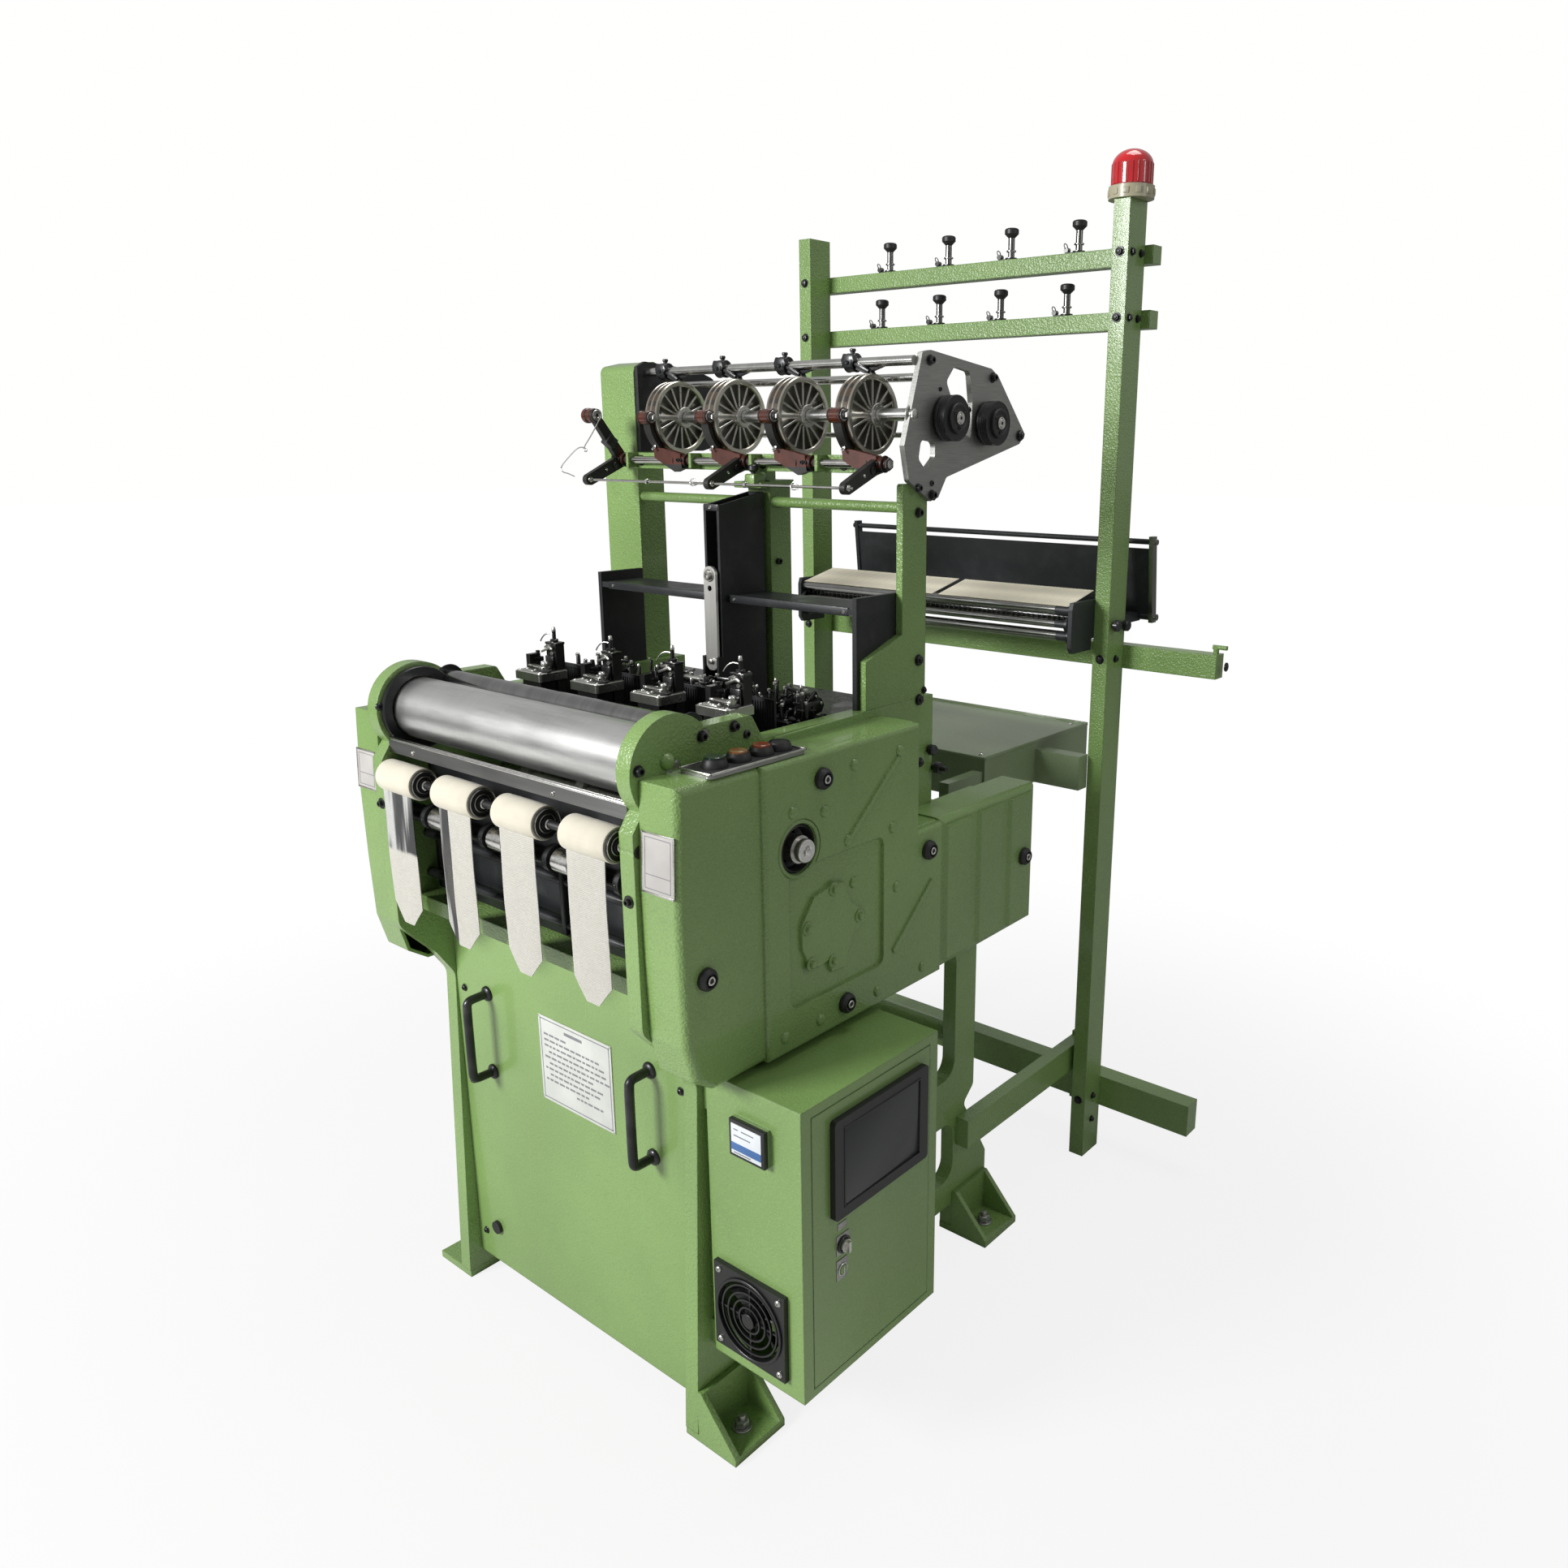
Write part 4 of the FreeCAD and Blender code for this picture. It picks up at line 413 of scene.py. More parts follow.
def blackened(name, colour=(0.012, 0.013, 0.014), rough=0.38, oil=0.5, bump=0.0004):
    """Black oxide or black lacquer on steel, with an uneven film of oil and dust in it."""
    f = Finish(name)
    film = f.noise(28.0, 4.0, rough=0.6)
    dust = f.noise(7.0, 5.0, rough=0.7).ramp(0.5, 0.78)
    return f.made(Base_Color=f.mix(dust * 0.35, rgb(*colour), rgb(0.06, 0.06, 0.055)), Metallic=0.25,
                  Roughness=film * 0.3 + (rough - 0.15), Coat_Weight=film.ramp(0.4, 0.65) * oil, Coat_Roughness=0.12,
                  Normal=f.relief(f.noise(320.0, 2.0), bump, 0.3))


def moulded(name, colour, rough=0.35, grain=700.0, coat=0.2, bump=0.00015):
    """Moulded plastic or rubber with a fine spark-eroded grain and a little fading."""
    f = Finish(name)
    fine = f.noise(grain, 2.0)
    fade = f.noise(18.0, 3.0)
    return f.made(Base_Color=f.mix(fade.ramp(0.35, 0.7), shade(colour, 0.86), shade(colour, 1.1)),
                  Roughness=fine * 0.1 + (rough - 0.05), Coat_Weight=coat, Coat_Roughness=0.1,
                  Normal=f.relief(fine, bump, 0.35))


def satin(name, colour, rough=0.45, coat=0.1):
    """Plain paint, print or card with a barely uneven surface."""
    f = Finish(name)
    cloud = f.noise(26.0, 3.0)
    return f.made(Base_Color=f.mix(cloud.ramp(0.35, 0.7), shade(colour, 0.94), shade(colour, 1.04)),
                  Roughness=cloud * 0.1 + (rough - 0.05), Coat_Weight=coat, Coat_Roughness=0.12,
                  Normal=f.relief(f.noise(600.0, 2.0), 0.00008, 0.3))


def part_bare(name, bare, metal, paint, metal_rough=0.26, paint_rough=0.42, tint=None):
    """Bare metal where bare is 1 and oiled paint elsewhere. tint gives a second paint and where it lies."""
    f = Finish(name)
    where = bare(f)
    marks = f.noise(1.0, 3.0, stretch=(60.0, 5.0, 5.0), rough=0.6)
    film = f.noise(30.0, 4.0, rough=0.65)
    bright = f.mix(marks.ramp(0.3, 0.7), shade(metal, 0.9), shade(metal, 1.06))
    dull = f.mix(film.ramp(0.42, 0.75) * 0.5, paint, shade(paint, 1.9))
    if tint:
        dull = f.mix(tint[1](f), dull, f.mix(film.ramp(0.35, 0.7), shade(tint[0], 0.7), shade(tint[0], 1.15)))
    return f.made(Base_Color=f.mix(where, dull, bright), Metallic=where * 0.85 + 0.15,
                  Roughness=where * (metal_rough - paint_rough) + film * (0.17 - where * 0.14) + (paint_rough - 0.08),
                  Normal=f.relief(f.noise(360.0, 2.0), 0.0003, (1.0 - where) * 0.3))


def rods_bare(f):
    """The long rods of the head, but not the clamps on them."""
    first, second, third = (away(f, y, z) - r * MM for y, z, r in HEAD_RODS)
    return first.least(second).least(third) < 0.0


def shafts_bare(f):
    """The levers' shaft and the thin release rod."""
    return (away(f, LEVER_Y, LEVER_Z) < 0.0063).most(away(f, RELEASE_Y, RELEASE_Z) < 0.0024)


def presser_tint(f):
    """The cast brackets under the wheels, but neither the curved arms nor the flat ones."""
    return (f.z > 1.3560) * (f.z < 1.3835) * (f.y > 0.0695) * (f.y < 0.0840)


def wheels_bare(f):
    """All of a wheel but the sides of its spokes, which take the dark paint as painted shade between the spokes."""
    radius = away(f, SHAFT_Y, SHAFT_Z)
    return 1.0 - (lane_offset(f.x - 0.006) < 0.0099) * (radius > 0.0155) * (radius < 0.0512)


def link_bare(f):
    """The link bar, but not the fork behind it."""
    return (f.x.size() < 0.0134) * (f.y < -0.004)


def plates_bare(f):
    """The ground top of each weft head."""
    return (f.z > 1.0305) * (f.z < 1.0434) * (f.y < -0.1565) * (lane_offset(f.x) < 0.0335)


def pins_bare(f):
    """The tensioners' stems in both rows."""
    high, low = (f.z - z * MM for z, _ in PIN_ROWS)
    return ((low > 0.0035) * (low < 0.0375)).most((high > 0.0035) * (high < 0.0375))


def stop_bars_bare(f):
    """The stop motion's bars between its end plates, and their ends outside the right one."""
    return ((f.x > -0.312) * (f.x < 0.286) * (f.y < 0.612)).most(f.x > 0.3735)


def turned_drum(name):
    """A polished drum with turning lines round it, oil haze and darker streaks along it."""
    f = Finish(name)
    lines = f.noise(1.0, 2.0, stretch=(1400.0, 2.0, 2.0), rough=0.6)
    streak = f.noise(1.0, 4.0, stretch=(5.0, 46.0, 46.0), rough=0.62)
    haze = f.noise(9.0, 4.0)
    tone = f.mix(streak.ramp(0.3, 0.62), rgb(0.60, 0.60, 0.59), rgb(0.82, 0.82, 0.81))
    return f.made(Base_Color=f.mix(lines.ramp(0.35, 0.75) * 0.3, tone, rgb(0.50, 0.50, 0.49)), Metallic=1.0,
                  Roughness=haze * 0.16 + lines * 0.1 + 0.2, Normal=f.relief(lines, 0.00008, 0.4))


def plain_weave(f, first, second):
    """Bumps of warp and weft at two pitches, and the slubs in the yarn."""
    slub = f.noise(90.0, 3.0)
    return (((first.wave() * 0.5 + 0.5) * 0.6 + (second.wave() * 0.5 + 0.5) * 0.4) * (slub * 0.5 + 0.75)), slub


def warp_yarn(name, colour):
    """Cream yarns side by side with faint marks."""
    f = Finish(name)
    weave, slub = plain_weave(f, f.x * 2600.0, f.y * 120.0)
    tone = f.mix(weave.ramp(0.15, 0.95), shade(colour, 0.72), shade(colour, 1.08))
    mark = f.noise(9.0, 4.0).ramp(0.52, 0.8)
    return f.made(Base_Color=f.mix(mark * 0.25, tone, shade(colour, 0.6)), Roughness=slub * 0.1 + 0.83,
                  Sheen_Weight=0.25, Normal=f.relief(weave, 0.0008, 0.7))


def woven_tape(name, reflection_from=None, reflection_stripe=None):
    """A cream woven tape. Above a given height, or in a given stripe across it, it carries a painted reflection:
    dark, with light streaks.
    """
    f = Finish(name)
    weave, slub = plain_weave(f, f.x * 4600.0, f.z * 2400.0)
    tone = f.mix(weave.ramp(0.15, 0.95), rgb(0.40, 0.385, 0.34), rgb(0.72, 0.70, 0.64))
    tone = f.mix(f.noise(620.0, 2.0).ramp(0.35, 0.65) * 0.4, tone, rgb(0.34, 0.33, 0.30))
    # painted reflection: dark, with light streaks running down the tape
    reflection_streaks = f.noise(1.0, 3.0, stretch=(42.0, 42.0, 4.0)).ramp(0.46, 0.62)
    bright = f.mix(weave.ramp(0.2, 0.9), rgb(0.35, 0.35, 0.34), rgb(0.6, 0.6, 0.58))
    painted_reflection = f.mix(reflection_streaks, rgb(0.02, 0.021, 0.022), bright)
    if reflection_from:
        tone = f.mix((f.z + f.noise(30.0, 2.0) * 0.006).ramp(reflection_from, reflection_from + 0.008), tone, painted_reflection)
    if reflection_stripe:
        tone = f.mix(((f.x - reflection_stripe[0]) < 0.0) * ((f.x - reflection_stripe[1]) > 0.0), tone, painted_reflection)
    return f.made(Base_Color=f.mix(f.noise(8.0, 4.0).ramp(0.55, 0.8) * 0.2, tone, rgb(0.42, 0.38, 0.3)),
                  Roughness=slub * 0.1 + 0.82, Sheen_Weight=0.2, Normal=f.relief(weave, 0.0004, 0.7))


def wound_cloth(name):
    """Cream cloth wound tight: fine weave on the roll, thin dark layer lines on its ends."""
    f = Finish(name)
    weave = (f.x * 5200.0).wave() * (f.y * 2600.0).wave() * 0.5 + 0.5
    layers = ((away(f, ROLL_Y, ROLL_Z) * 7000.0).wave() * 0.5 + 0.5).ramp(0.55, 0.95)
    slub = f.noise(60.0, 3.0)
    tone = f.mix(weave * slub, rgb(0.60, 0.56, 0.45), rgb(0.80, 0.77, 0.66))
    return f.made(Base_Color=f.mix(layers * 0.25, tone, rgb(0.40, 0.36, 0.27)), Roughness=slub * 0.1 + 0.82,
                  Sheen_Weight=0.2, Normal=f.relief(weave, 0.0003, 0.6))


GREEN = rgb(0.200, 0.330, 0.098)
RUSSET = rgb(0.075, 0.015, 0.006)
GROUND, SANDED = (40.0, 4.0, 4.0), (60.0, 60.0, 60.0)
FINISHES = {
    "enamel": hammered("green_hammer_enamel", GREEN),
    "box_enamel": hammered("green_sheet_enamel", shade(GREEN, 0.97), 0.42, 420.0, 0.0006),
    "table_paint": hammered("grey_green_table_paint", rgb(0.23, 0.30, 0.165), 0.45, 420.0, 0.0005),
    "drum_steel": turned_drum("turned_drum_steel"),
    "bar_steel": steel("ground_bar_steel", rgb(0.62, 0.62, 0.61), 0.24, GROUND, 6.0, 0.0, 0.00001, 0.04),
    "dark_steel": steel("oiled_dark_steel", rgb(0.34, 0.34, 0.34), 0.16, GROUND, 6.0, 0.0, 0.00001, 0.04),
    "nose_steel": steel("worn_nose_steel", rgb(0.26, 0.26, 0.255), 0.22, (3.0, 36.0, 36.0), 9.0, 0.2, 0.00001, 0.08),
    "plate_steel": steel("brushed_plate_steel", rgb(0.34, 0.34, 0.325), 0.42, (90.0, 26.0, 900.0), 12.0, 0.25),
    "plate_bright": steel("ground_face_plates", rgb(0.56, 0.56, 0.53), 0.3, SANDED, 40.0, 0.1, 0.00002, 0.05),
    "plate_alloy": steel("grey_alloy_faces", rgb(0.40, 0.40, 0.39), 0.4, (200.0, 200.0, 200.0), 60.0, 0.2),
    "bright_steel": steel("small_steel_parts", rgb(0.60, 0.59, 0.56), 0.26, (90.0, 90.0, 700.0), 60.0, 0.25),
    "polished": steel("polished_steel", rgb(0.78, 0.77, 0.75), 0.16, (300.0, 300.0, 300.0), 40.0, 0.05),
    # the dark paint colour of the wheels lies only on the spokes' sides, as painted shade between the spokes
    "wheel_alloy": part_bare("spoked_wheel_alloy", wheels_bare, rgb(0.58, 0.56, 0.49), rgb(0.12, 0.115, 0.09), 0.28),
    "rods": part_bare("head_rods_and_clamps", rods_bare, rgb(0.66, 0.66, 0.64), rgb(0.013, 0.013, 0.014)),
    "pressers": part_bare("press_lever_castings", shafts_bare, rgb(0.62, 0.61, 0.58), rgb(0.016, 0.016, 0.015),
                          tint=(RUSSET, presser_tint)),
    "link": part_bare("link_bar_and_fork", link_bare, rgb(0.88, 0.87, 0.83), rgb(0.010, 0.010, 0.010), 0.4),
    "weft_heads": part_bare("weft_head_castings", plates_bare, rgb(0.46, 0.46, 0.43), rgb(0.009, 0.009, 0.009),
                            0.34, 0.3),
    "tensioners": part_bare("tensioner_parts", pins_bare, rgb(0.16, 0.16, 0.155), rgb(0.014, 0.014, 0.014)),
    "stop_motion": part_bare("stop_motion_parts", stop_bars_bare, rgb(0.34, 0.34, 0.33), rgb(0.02, 0.022, 0.025)),
    "black": blackened("black_oxide"),
    "lacquer": blackened("black_lacquer", (0.014, 0.015, 0.017), 0.48, 0.25, 0.0006),
    "oily": blackened("oily_black_castings", (0.008, 0.008, 0.008), 0.28, 0.9, 0.001),
    "rubber": moulded("black_rubber", rgb(0.012, 0.012, 0.012), 0.5, 500.0, 0.0),
    "dark_plastic": moulded("black_moulding", rgb(0.009, 0.009, 0.010), 0.42, coat=0.05),
    "brown_band": moulded("brown_grip_band", rgb(0.055, 0.034, 0.018), 0.4, 260.0, 0.3, 0.0004),
    "red_brown": moulded("red_brown_sleeve", RUSSET, 0.26, 260.0, 0.6, 0.0003),
    "plate_paint": satin("bare_label_plate", rgb(0.46, 0.44, 0.42)),
    "white_paint": satin("white_plate", rgb(0.60, 0.61, 0.58)),
    "grey_print": satin("grey_print", rgb(0.20, 0.21, 0.22)),
    "meter_card": satin("meter_card", rgb(0.72, 0.76, 0.80), 0.2, 0.8),
    "screen": satin("screen_glass", rgb(0.010, 0.012, 0.015), 0.25, 0.2),
    "blue_print": satin("blue_print", rgb(0.03, 0.12, 0.34), 0.3, 0.4),
    "cloth": wound_cloth("cream_roll_cloth"),
    # tapes 1 and 2 carry a painted reflection: tape 1 above 0.8 m, tape 2 in a stripe
    "tape_1": woven_tape("tape_top_painted_reflection", reflection_from=0.800),
    "tape_2": woven_tape("tape_painted_reflection_stripe", reflection_stripe=(-0.104, -0.130)),
    "tape_3": woven_tape("tape_plain_left"),
    "tape_4": woven_tape("tape_plain_right"),
    "warp": warp_yarn("warp_yarn", rgb(0.95, 0.87, 0.68)),
    "cream_plastic": moulded("cream_moulding", rgb(0.42, 0.39, 0.27), 0.4),
    "lens": moulded("red_lens", rgb(0.60, 0.004, 0.010), 0.12, 60.0, 1.0, 0.00005),
    "lens_rib": moulded("deep_red_ribs", rgb(0.33, 0.002, 0.006), 0.45, 60.0, 0.1, 0.00005),
    "green_cap": moulded("dark_green_cap", rgb(0.012, 0.03, 0.018), 0.25, 500.0, 0.6),
    "amber_cap": moulded("amber_cap", rgb(0.30, 0.14, 0.045), 0.25, 500.0, 0.6),
    "red_cap": moulded("orange_red_cap", rgb(0.30, 0.07, 0.025), 0.25, 500.0, 0.6),
}

DRESS = {
    "enamel": "side_frame_right side_frame_left feet_right feet_left cross_beams right_cover left_cover rear_cover "
              "column_left column_right head_rails creel_post_right creel_post_left creel_top_rails creel_mid_rail "
              "creel_base",
    "box_enamel": "front_panel control_box control_door",
    "table_paint": "table",
    "drum_steel": "take_up_drum",
    "bar_steel": "feed_shaft",
    "dark_steel": "press_roller",
    "nose_steel": "nose_bar",
    "plate_steel": "head_plate_right switch_plate",
    "bright_steel": "main_shaft key_switch weft_needle_1 weft_needle_2 weft_needle_3 weft_needle_4",
    "wheel_alloy": "feed_wheels",
    "rods": "head_rods",
    "pressers": "press_levers",
    "link": "link_bar",
    "weft_heads": "weft_heads",
    "tensioners": "thread_tensioners",
    "stop_motion": "stop_motion_frame",
    "black": "panel_handles guide_rod fasteners",
    "lacquer": "harness_guide head_plate_left reed_sley",
    "oily": "bed_deck",
    "rubber": "rubber_plugs front_pulley rear_pulley",
    "dark_plastic": "touch_screen fan_guard fan_rotor",
    "cloth": "tape_rolls",
    "tape_3": "woven_tapes",
    "warp": "warp_sheets",
    "cream_plastic": "beacon_base",
    "lens": "beacon_dome",
    "green_cap": "jog_button",
    "amber_cap": "start_button",
    "red_cap": "stop_button",
}
for finish, nodes in DRESS.items():
    for node in nodes.split():
        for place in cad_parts[node].material_slots:
            place.material = FINISHES[finish]


# ---- drum, rollers and rolls
def drum_end_rings():
    """Black bearing rings round the ends of the drum and the press roller, inside the cheeks."""
    rings = Bench("drum_end_rings", "black")
    for inside, back in ((INNER_LEFT, 0), (INNER_RIGHT, 1)):
        rings.ring((inside - 8 * back, DRUM_Y, DRUM_Z), X, DRUM_R + 1.5, 63, 8, 1.5, 64)
        rings.ring((inside - 1.6 * back, PRESS_Y, PRESS_Z), X, 8, 25, 1.6, 0.5, 40)


def nose_screws():
    """Two screws in the nose bar and the polished round along its lower edge."""
    screws = Bench("nose_bar_screws", "bright_steel")
    for x in (-214, 118):
        screws.screw((x, edge("nose_bar", 1, 0) + 0.4, 951), -Y, 3.6, 14)
    Bench("nose_bar_round_edge", "polished").bar(
        (INNER_LEFT + 0.5, -407.5, 963.5), (INNER_RIGHT - 0.5, -407.5, 963.5), 3.6)


def roll_cloth(k):
    """Cream cloth wound on a roll, its layers showing as rings on the end."""
    layers = [(ROLL_R - 1.2 - 0.45 * i, 90.0 - 0.55 * (i % 2)) for i in range(1, 9)]
    crown = [(ROLL_R - 1.0, 0), (ROLL_R - 0.1, 1.2), (ROLL_R + 0.2, 24), (ROLL_R + 0.1, 60), (ROLL_R - 0.1, 88.6),
             (ROLL_R - 0.8, 89.8)]
    cloth = Bench(f"roll_cloth_{k + 1}", "cloth", "tape_winder", "tape_rolls", 50)
    cloth.spun((TAPES[k] - 40, ROLL_Y, ROLL_Z), X, [(12, 0)] + crown + layers + [(12, 89.2)], 56)
    cloth.done()


def roll_hubs():
    """A black dished disc with a bolt at the right of each roll, all on one spindle."""
    hubs = Bench("roll_hub_discs", "rubber", "tape_winder", "tape_rolls")
    bolts = Bench("roll_hub_bolts", "bright_steel", "tape_winder", "tape_rolls")
    spindle = Bench("roll_spindle", "rubber", "tape_winder", "tape_rolls")
    for x in TAPES:
        hubs.spun((x + 50.2, ROLL_Y, ROLL_Z), X, [
            (8.2, 0), (20.6, 0), (21, 1), (21, 3.4), (19.6, 4.6), (17.4, 4.4), (16.4, 2.6), (10, 2.4), (9, 6.6),
            (8.2, 6.6)], 40)
        bolts.spun((x + 56, ROLL_Y, ROLL_Z), X, [(2.4, 0.4), (2.4, 3.4), (6, 3.4), (7.2, 2.2), (7.2, 0.4)], 24)
        bolts.ring((x + 53.2, ROLL_Y, ROLL_Z), X, 11.4, 13, 1, 0.3, 32)
        bolts.ring((x + 54, ROLL_Y, ROLL_Z), X, 19.2, 20.4, 1, 0.3, 40)
    for x0, x1, r in ((FRAME_LEFT, FRAME_RIGHT, 5.5), (FRAME_LEFT, FRAME_LEFT + 16, 8),
                      (FRAME_RIGHT - 16, FRAME_RIGHT, 8)):
        spindle.bar((x0, ROLL_Y, ROLL_Z), (x1, ROLL_Y, ROLL_Z), r)


def tape(k):
    """A woven tape that hangs from under its roll and ends in a blunt point."""
    cloth = bmesh.new()
    tall = TAPE_TOP - TAPE_TIP
    bmesh.ops.create_grid(cloth, x_segments=26, y_segments=64, size=0.5)
    bmesh.ops.scale(cloth, vec=(2 * TAPE_HALF, tall, 1), verts=cloth.verts)
    for side in (-1, 1):
        slope = Vector((side * TAPE_POINT, -(TAPE_HALF - TAPE_HALF / 3), 0)).normalized()
        bmesh.ops.bisect_plane(cloth, geom=cloth.verts[:] + cloth.edges[:] + cloth.faces[:], dist=0.001,
                               plane_co=(side * TAPE_HALF, TAPE_POINT - tall / 2, 0), plane_no=slope,
                               clear_outer=True)
    lean, phase = (0.6, -0.5, 0.4, -0.6)[k], 1.7 * k
    for v in cloth.verts:
        x, down = v.co.x, 1 - (v.co.y + tall / 2) / tall
        belly = 1.2 * math.sin(math.pi * min(1.0, down * 1.15)) + 1.0 * down ** 3
        ripple = 0.5 * math.sin(9 * down + phase) * math.sin(2.2 * x / TAPE_HALF + phase)
        edge_back = 1.2 * (abs(x) / TAPE_HALF) ** 4 * (0.4 + down)
        v.co = (TAPES[k] + x + lean * down ** 2, -429.0 - belly - ripple + edge_back, TAPE_TIP + tall * (1 - down))
    bmesh.ops.recalc_face_normals(cloth, faces=cloth.faces)
    bmesh.ops.solidify(cloth, geom=cloth.faces, thickness=1.3)
    strip = Bench(f"woven_tape_{k + 1}", f"tape_{k + 1}", "frame", "woven_tapes", 60)
    strip.add(cloth)
    strip.done()


def guide_sleeves():
    """Polished sleeves on the guide rod between the black collars."""
    sleeves = Bench("guide_rod_sleeves", "polished")
    for x in TAPES[:3]:
        sleeves.spun((x + 56, GUIDE_Y, GUIDE_Z), X,
                     [(13.2, 0), (16.2, 0), (16.8, 0.8), (16.8, 33), (16.2, 33.8), (13.2, 33.8)], 48)
    collars = Bench("guide_rod_grub_screws", "black")
    for x in TAPES:
        collars.screw((x + 46, GUIDE_Y - 18.7, GUIDE_Z), -Y, 2.6, 12)


def inner_shield():
    """The black sheet behind the rolls, with a folded edge, two stiffening bars and four straps."""
    shield = Bench("inner_shield", "lacquer")
    left, right = INNER_LEFT + 1, INNER_RIGHT - 1
    shield.block((left, -352, 714), (right, -349, 941), 0.8)
    shield.block((left, -362, 936), (right, -349, 941), 0.8)
    for z in (742, 806):
        shield.bar((left, -364, z), (right, -364, z), 7)
    for x in (-205, -68, 68, 205):
        shield.block((x - 5, -372, 728), (x + 5, -352, 820), 1.5)


# ---- side frames and covers
def cheek_screws():
    """Screws and washers of the cheeks, and the dome on the right one."""
    screws = Bench("cheek_screws", "black")
    rims = Bench("cheek_screw_washers", "black")
    for x, y, z in ((INNER_LEFT, -421, 1014), (INNER_LEFT, -300, 1012), (FRAME_RIGHT, -228, 1023)):
        screws.screw((x, y, z), X, 6)
    for x, z in ((FRAME_RIGHT - 13, 845), (FRAME_LEFT + 13, 864)):
        rims.ring((x, -425, z), -Y, 3, 8.5, 1.6, 0.6, 24)
        screws.cap_screw((x, -426, z), -Y, 4.6)
    Bench("cheek_dome", "enamel").spun(
        (FRAME_RIGHT - 0.2, -366, 1014), X, [(0, 8), (4, 7.6), (8, 5.6), (10.4, 2.4), (11, 0), (0, 0)], 28)


COVER_DOMES = [(2, 968), (-99, 968), (-223, 929), (-161, 916), (-113, 863), (-14, 857), (-4, 764), (-96, 796),
               (61, 615), (-48, 614), (-174, 617), (-245, 618)]
GEAR_BOLTS = [(-144, 801), (-198, 760), (-89, 745), (-146, 696), (-191, 706)]


def cover_bosses():
    """Pressed domes on the right cover and the small bolts of the gear case."""
    domes = Bench("cover_domes", "enamel")
    for y, z in COVER_DOMES:
        recess = 5 if -232 < y < -34 and 652 < z < 850 else 0
        domes.spun((COVER_FACE - recess - 0.2, y, z), X,
                   [(0, 4.6), (3.6, 4.4), (6.6, 3.4), (8.2, 1.4), (8.8, 0), (0, 0)], 24)
    for y, z in GEAR_BOLTS:
        domes.ring((COVER_FACE - 0.6, y, z), X, 2, 10, 2.6, 0.9, 28)
        domes.nut((COVER_FACE + 1.8, y, z), X, 5.6, 4.4)


def shaft_eye():
    """The dark well round the main shaft's end, with a lip on the cover."""
    Bench("shaft_eye_well", "rubber").spun(
        (COVER_FACE - 30, MAIN_Y, MAIN_Z), X, [(21, 0), (33.4, 0), (33.4, 25), (30, 27), (27.5, 12), (21, 8)], 48)
    Bench("shaft_eye_lip", "enamel").spun(
        (COVER_FACE - 3, MAIN_Y, MAIN_Z), X,
        [(34.4, 0.2), (41, 0.2), (41, 1.4), (38.4, 3.6), (35.6, 3.2), (34.4, 1.6)], 56)
    end = Bench("shaft_end_nut", "polished", "crank_shaft")
    end.ring((377.9, MAIN_Y, MAIN_Z), X, 7, 15.6, 2.4, 0.9)
    end.nut((377.9, MAIN_Y, MAIN_Z), X, 5.2, 4.6, 0.6)


def plug_rims():
    """The pale ring and hollow socket in the middle of each rubber plug."""
    rims = Bench("plug_rings", "bright_steel")
    shells = Bench("plug_shells", "rubber")
    for y, z, x in ((-166, 963, 367), (-378, 749, 360), (-120, 623, 367), (72, 801, 367), (346, 717, 365)):
        shells.spun((x, y, z), X, [(6.3, 3), (9, 10.4), (11, 10.6), (14.6, 6), (15, 0.2), (6.3, 0.2)], 32)
        rims.ring((x + 9, y, z), X, 3.4, 5.9, 2.6, 0.7, 28)


def side_plates():
    """Bare name plates on the fronts of both covers, tilted with the cover's face."""
    plates = Bench("bare_plates", "plate_paint")
    rims = Bench("plate_rims", "bright_steel")
    lines = Bench("plate_lines", "grey_print")
    lean = turned((0, -418.2, 870), -math.atan2(6, 130)) @ Matrix.Translation((0, 0, -870))
    for x0, x1, z0, z1 in ((296, 355, 862, 940), (-366, -312, 876, 938)):
        plates.block((x0 + 2.5, -0.9, z0 + 2.5), (x1 - 2.5, 0, z1 - 2.5), 0.2, lean)
        for a, b, c, d in border(x0, x1, z0, z1, 2.5):
            rims.block((a, -1.3, c), (b, 0, d), 0.3, lean)
        middle = (x0 + 6, x1 - 6, z0 + 24, z0 + 25)
        for a, b, c, d in border(x0 + 6, x1 - 6, z0 + 6, z1 - 6, 1, 1) + (middle,):
            lines.block((a, -1.1, c), (b, -0.85, d), 0, lean)


def switch_boots():
    """The steel rim of the switch plate, its black well, and a boot round each button."""
    well = Bench("switch_well", "rubber")
    well.plate([(302.5, -354), (355.5, -354), (355.5, -188), (302.5, -188)], 1.2, across("z", BUTTON_Z), 0.4)
    for y in BUTTONS + [SPARE_BUTTON]:
        well.spun((BUTTON_X, y, BUTTON_Z), Z,
                  [(12.6, 0), (17, 0), (17.4, 2), (15.6, 8), (13.8, 11.5), (12.6, 11.5)], 32)
    well.spun((BUTTON_X, SPARE_BUTTON, BUTTON_Z), Z, [(0, 0), (12.8, 0), (12.8, 9), (11, 11), (0, 11.6)], 28)
    rim = Bench("switch_rim", "bright_steel")
    for a, b, c, d in border(300, 358, -357, -185, 3):
        rim.block((a, c, BUTTON_Z), (b, d, BUTTON_Z + 3), 0.8)


def button_caps():
    """A coloured disc let into the top of each push button."""
    for y, letter, colour in zip(BUTTONS, "abc", ("green_cap", "amber_cap", "red_cap")):
        Bench(colour + "_disc", colour, "button_" + letter).spun(
            (BUTTON_X, y, 1017), Z, [(0, 0), (11.4, 0), (11.6, 0.8), (10.4, 1.8), (0, 1.2)], 32)


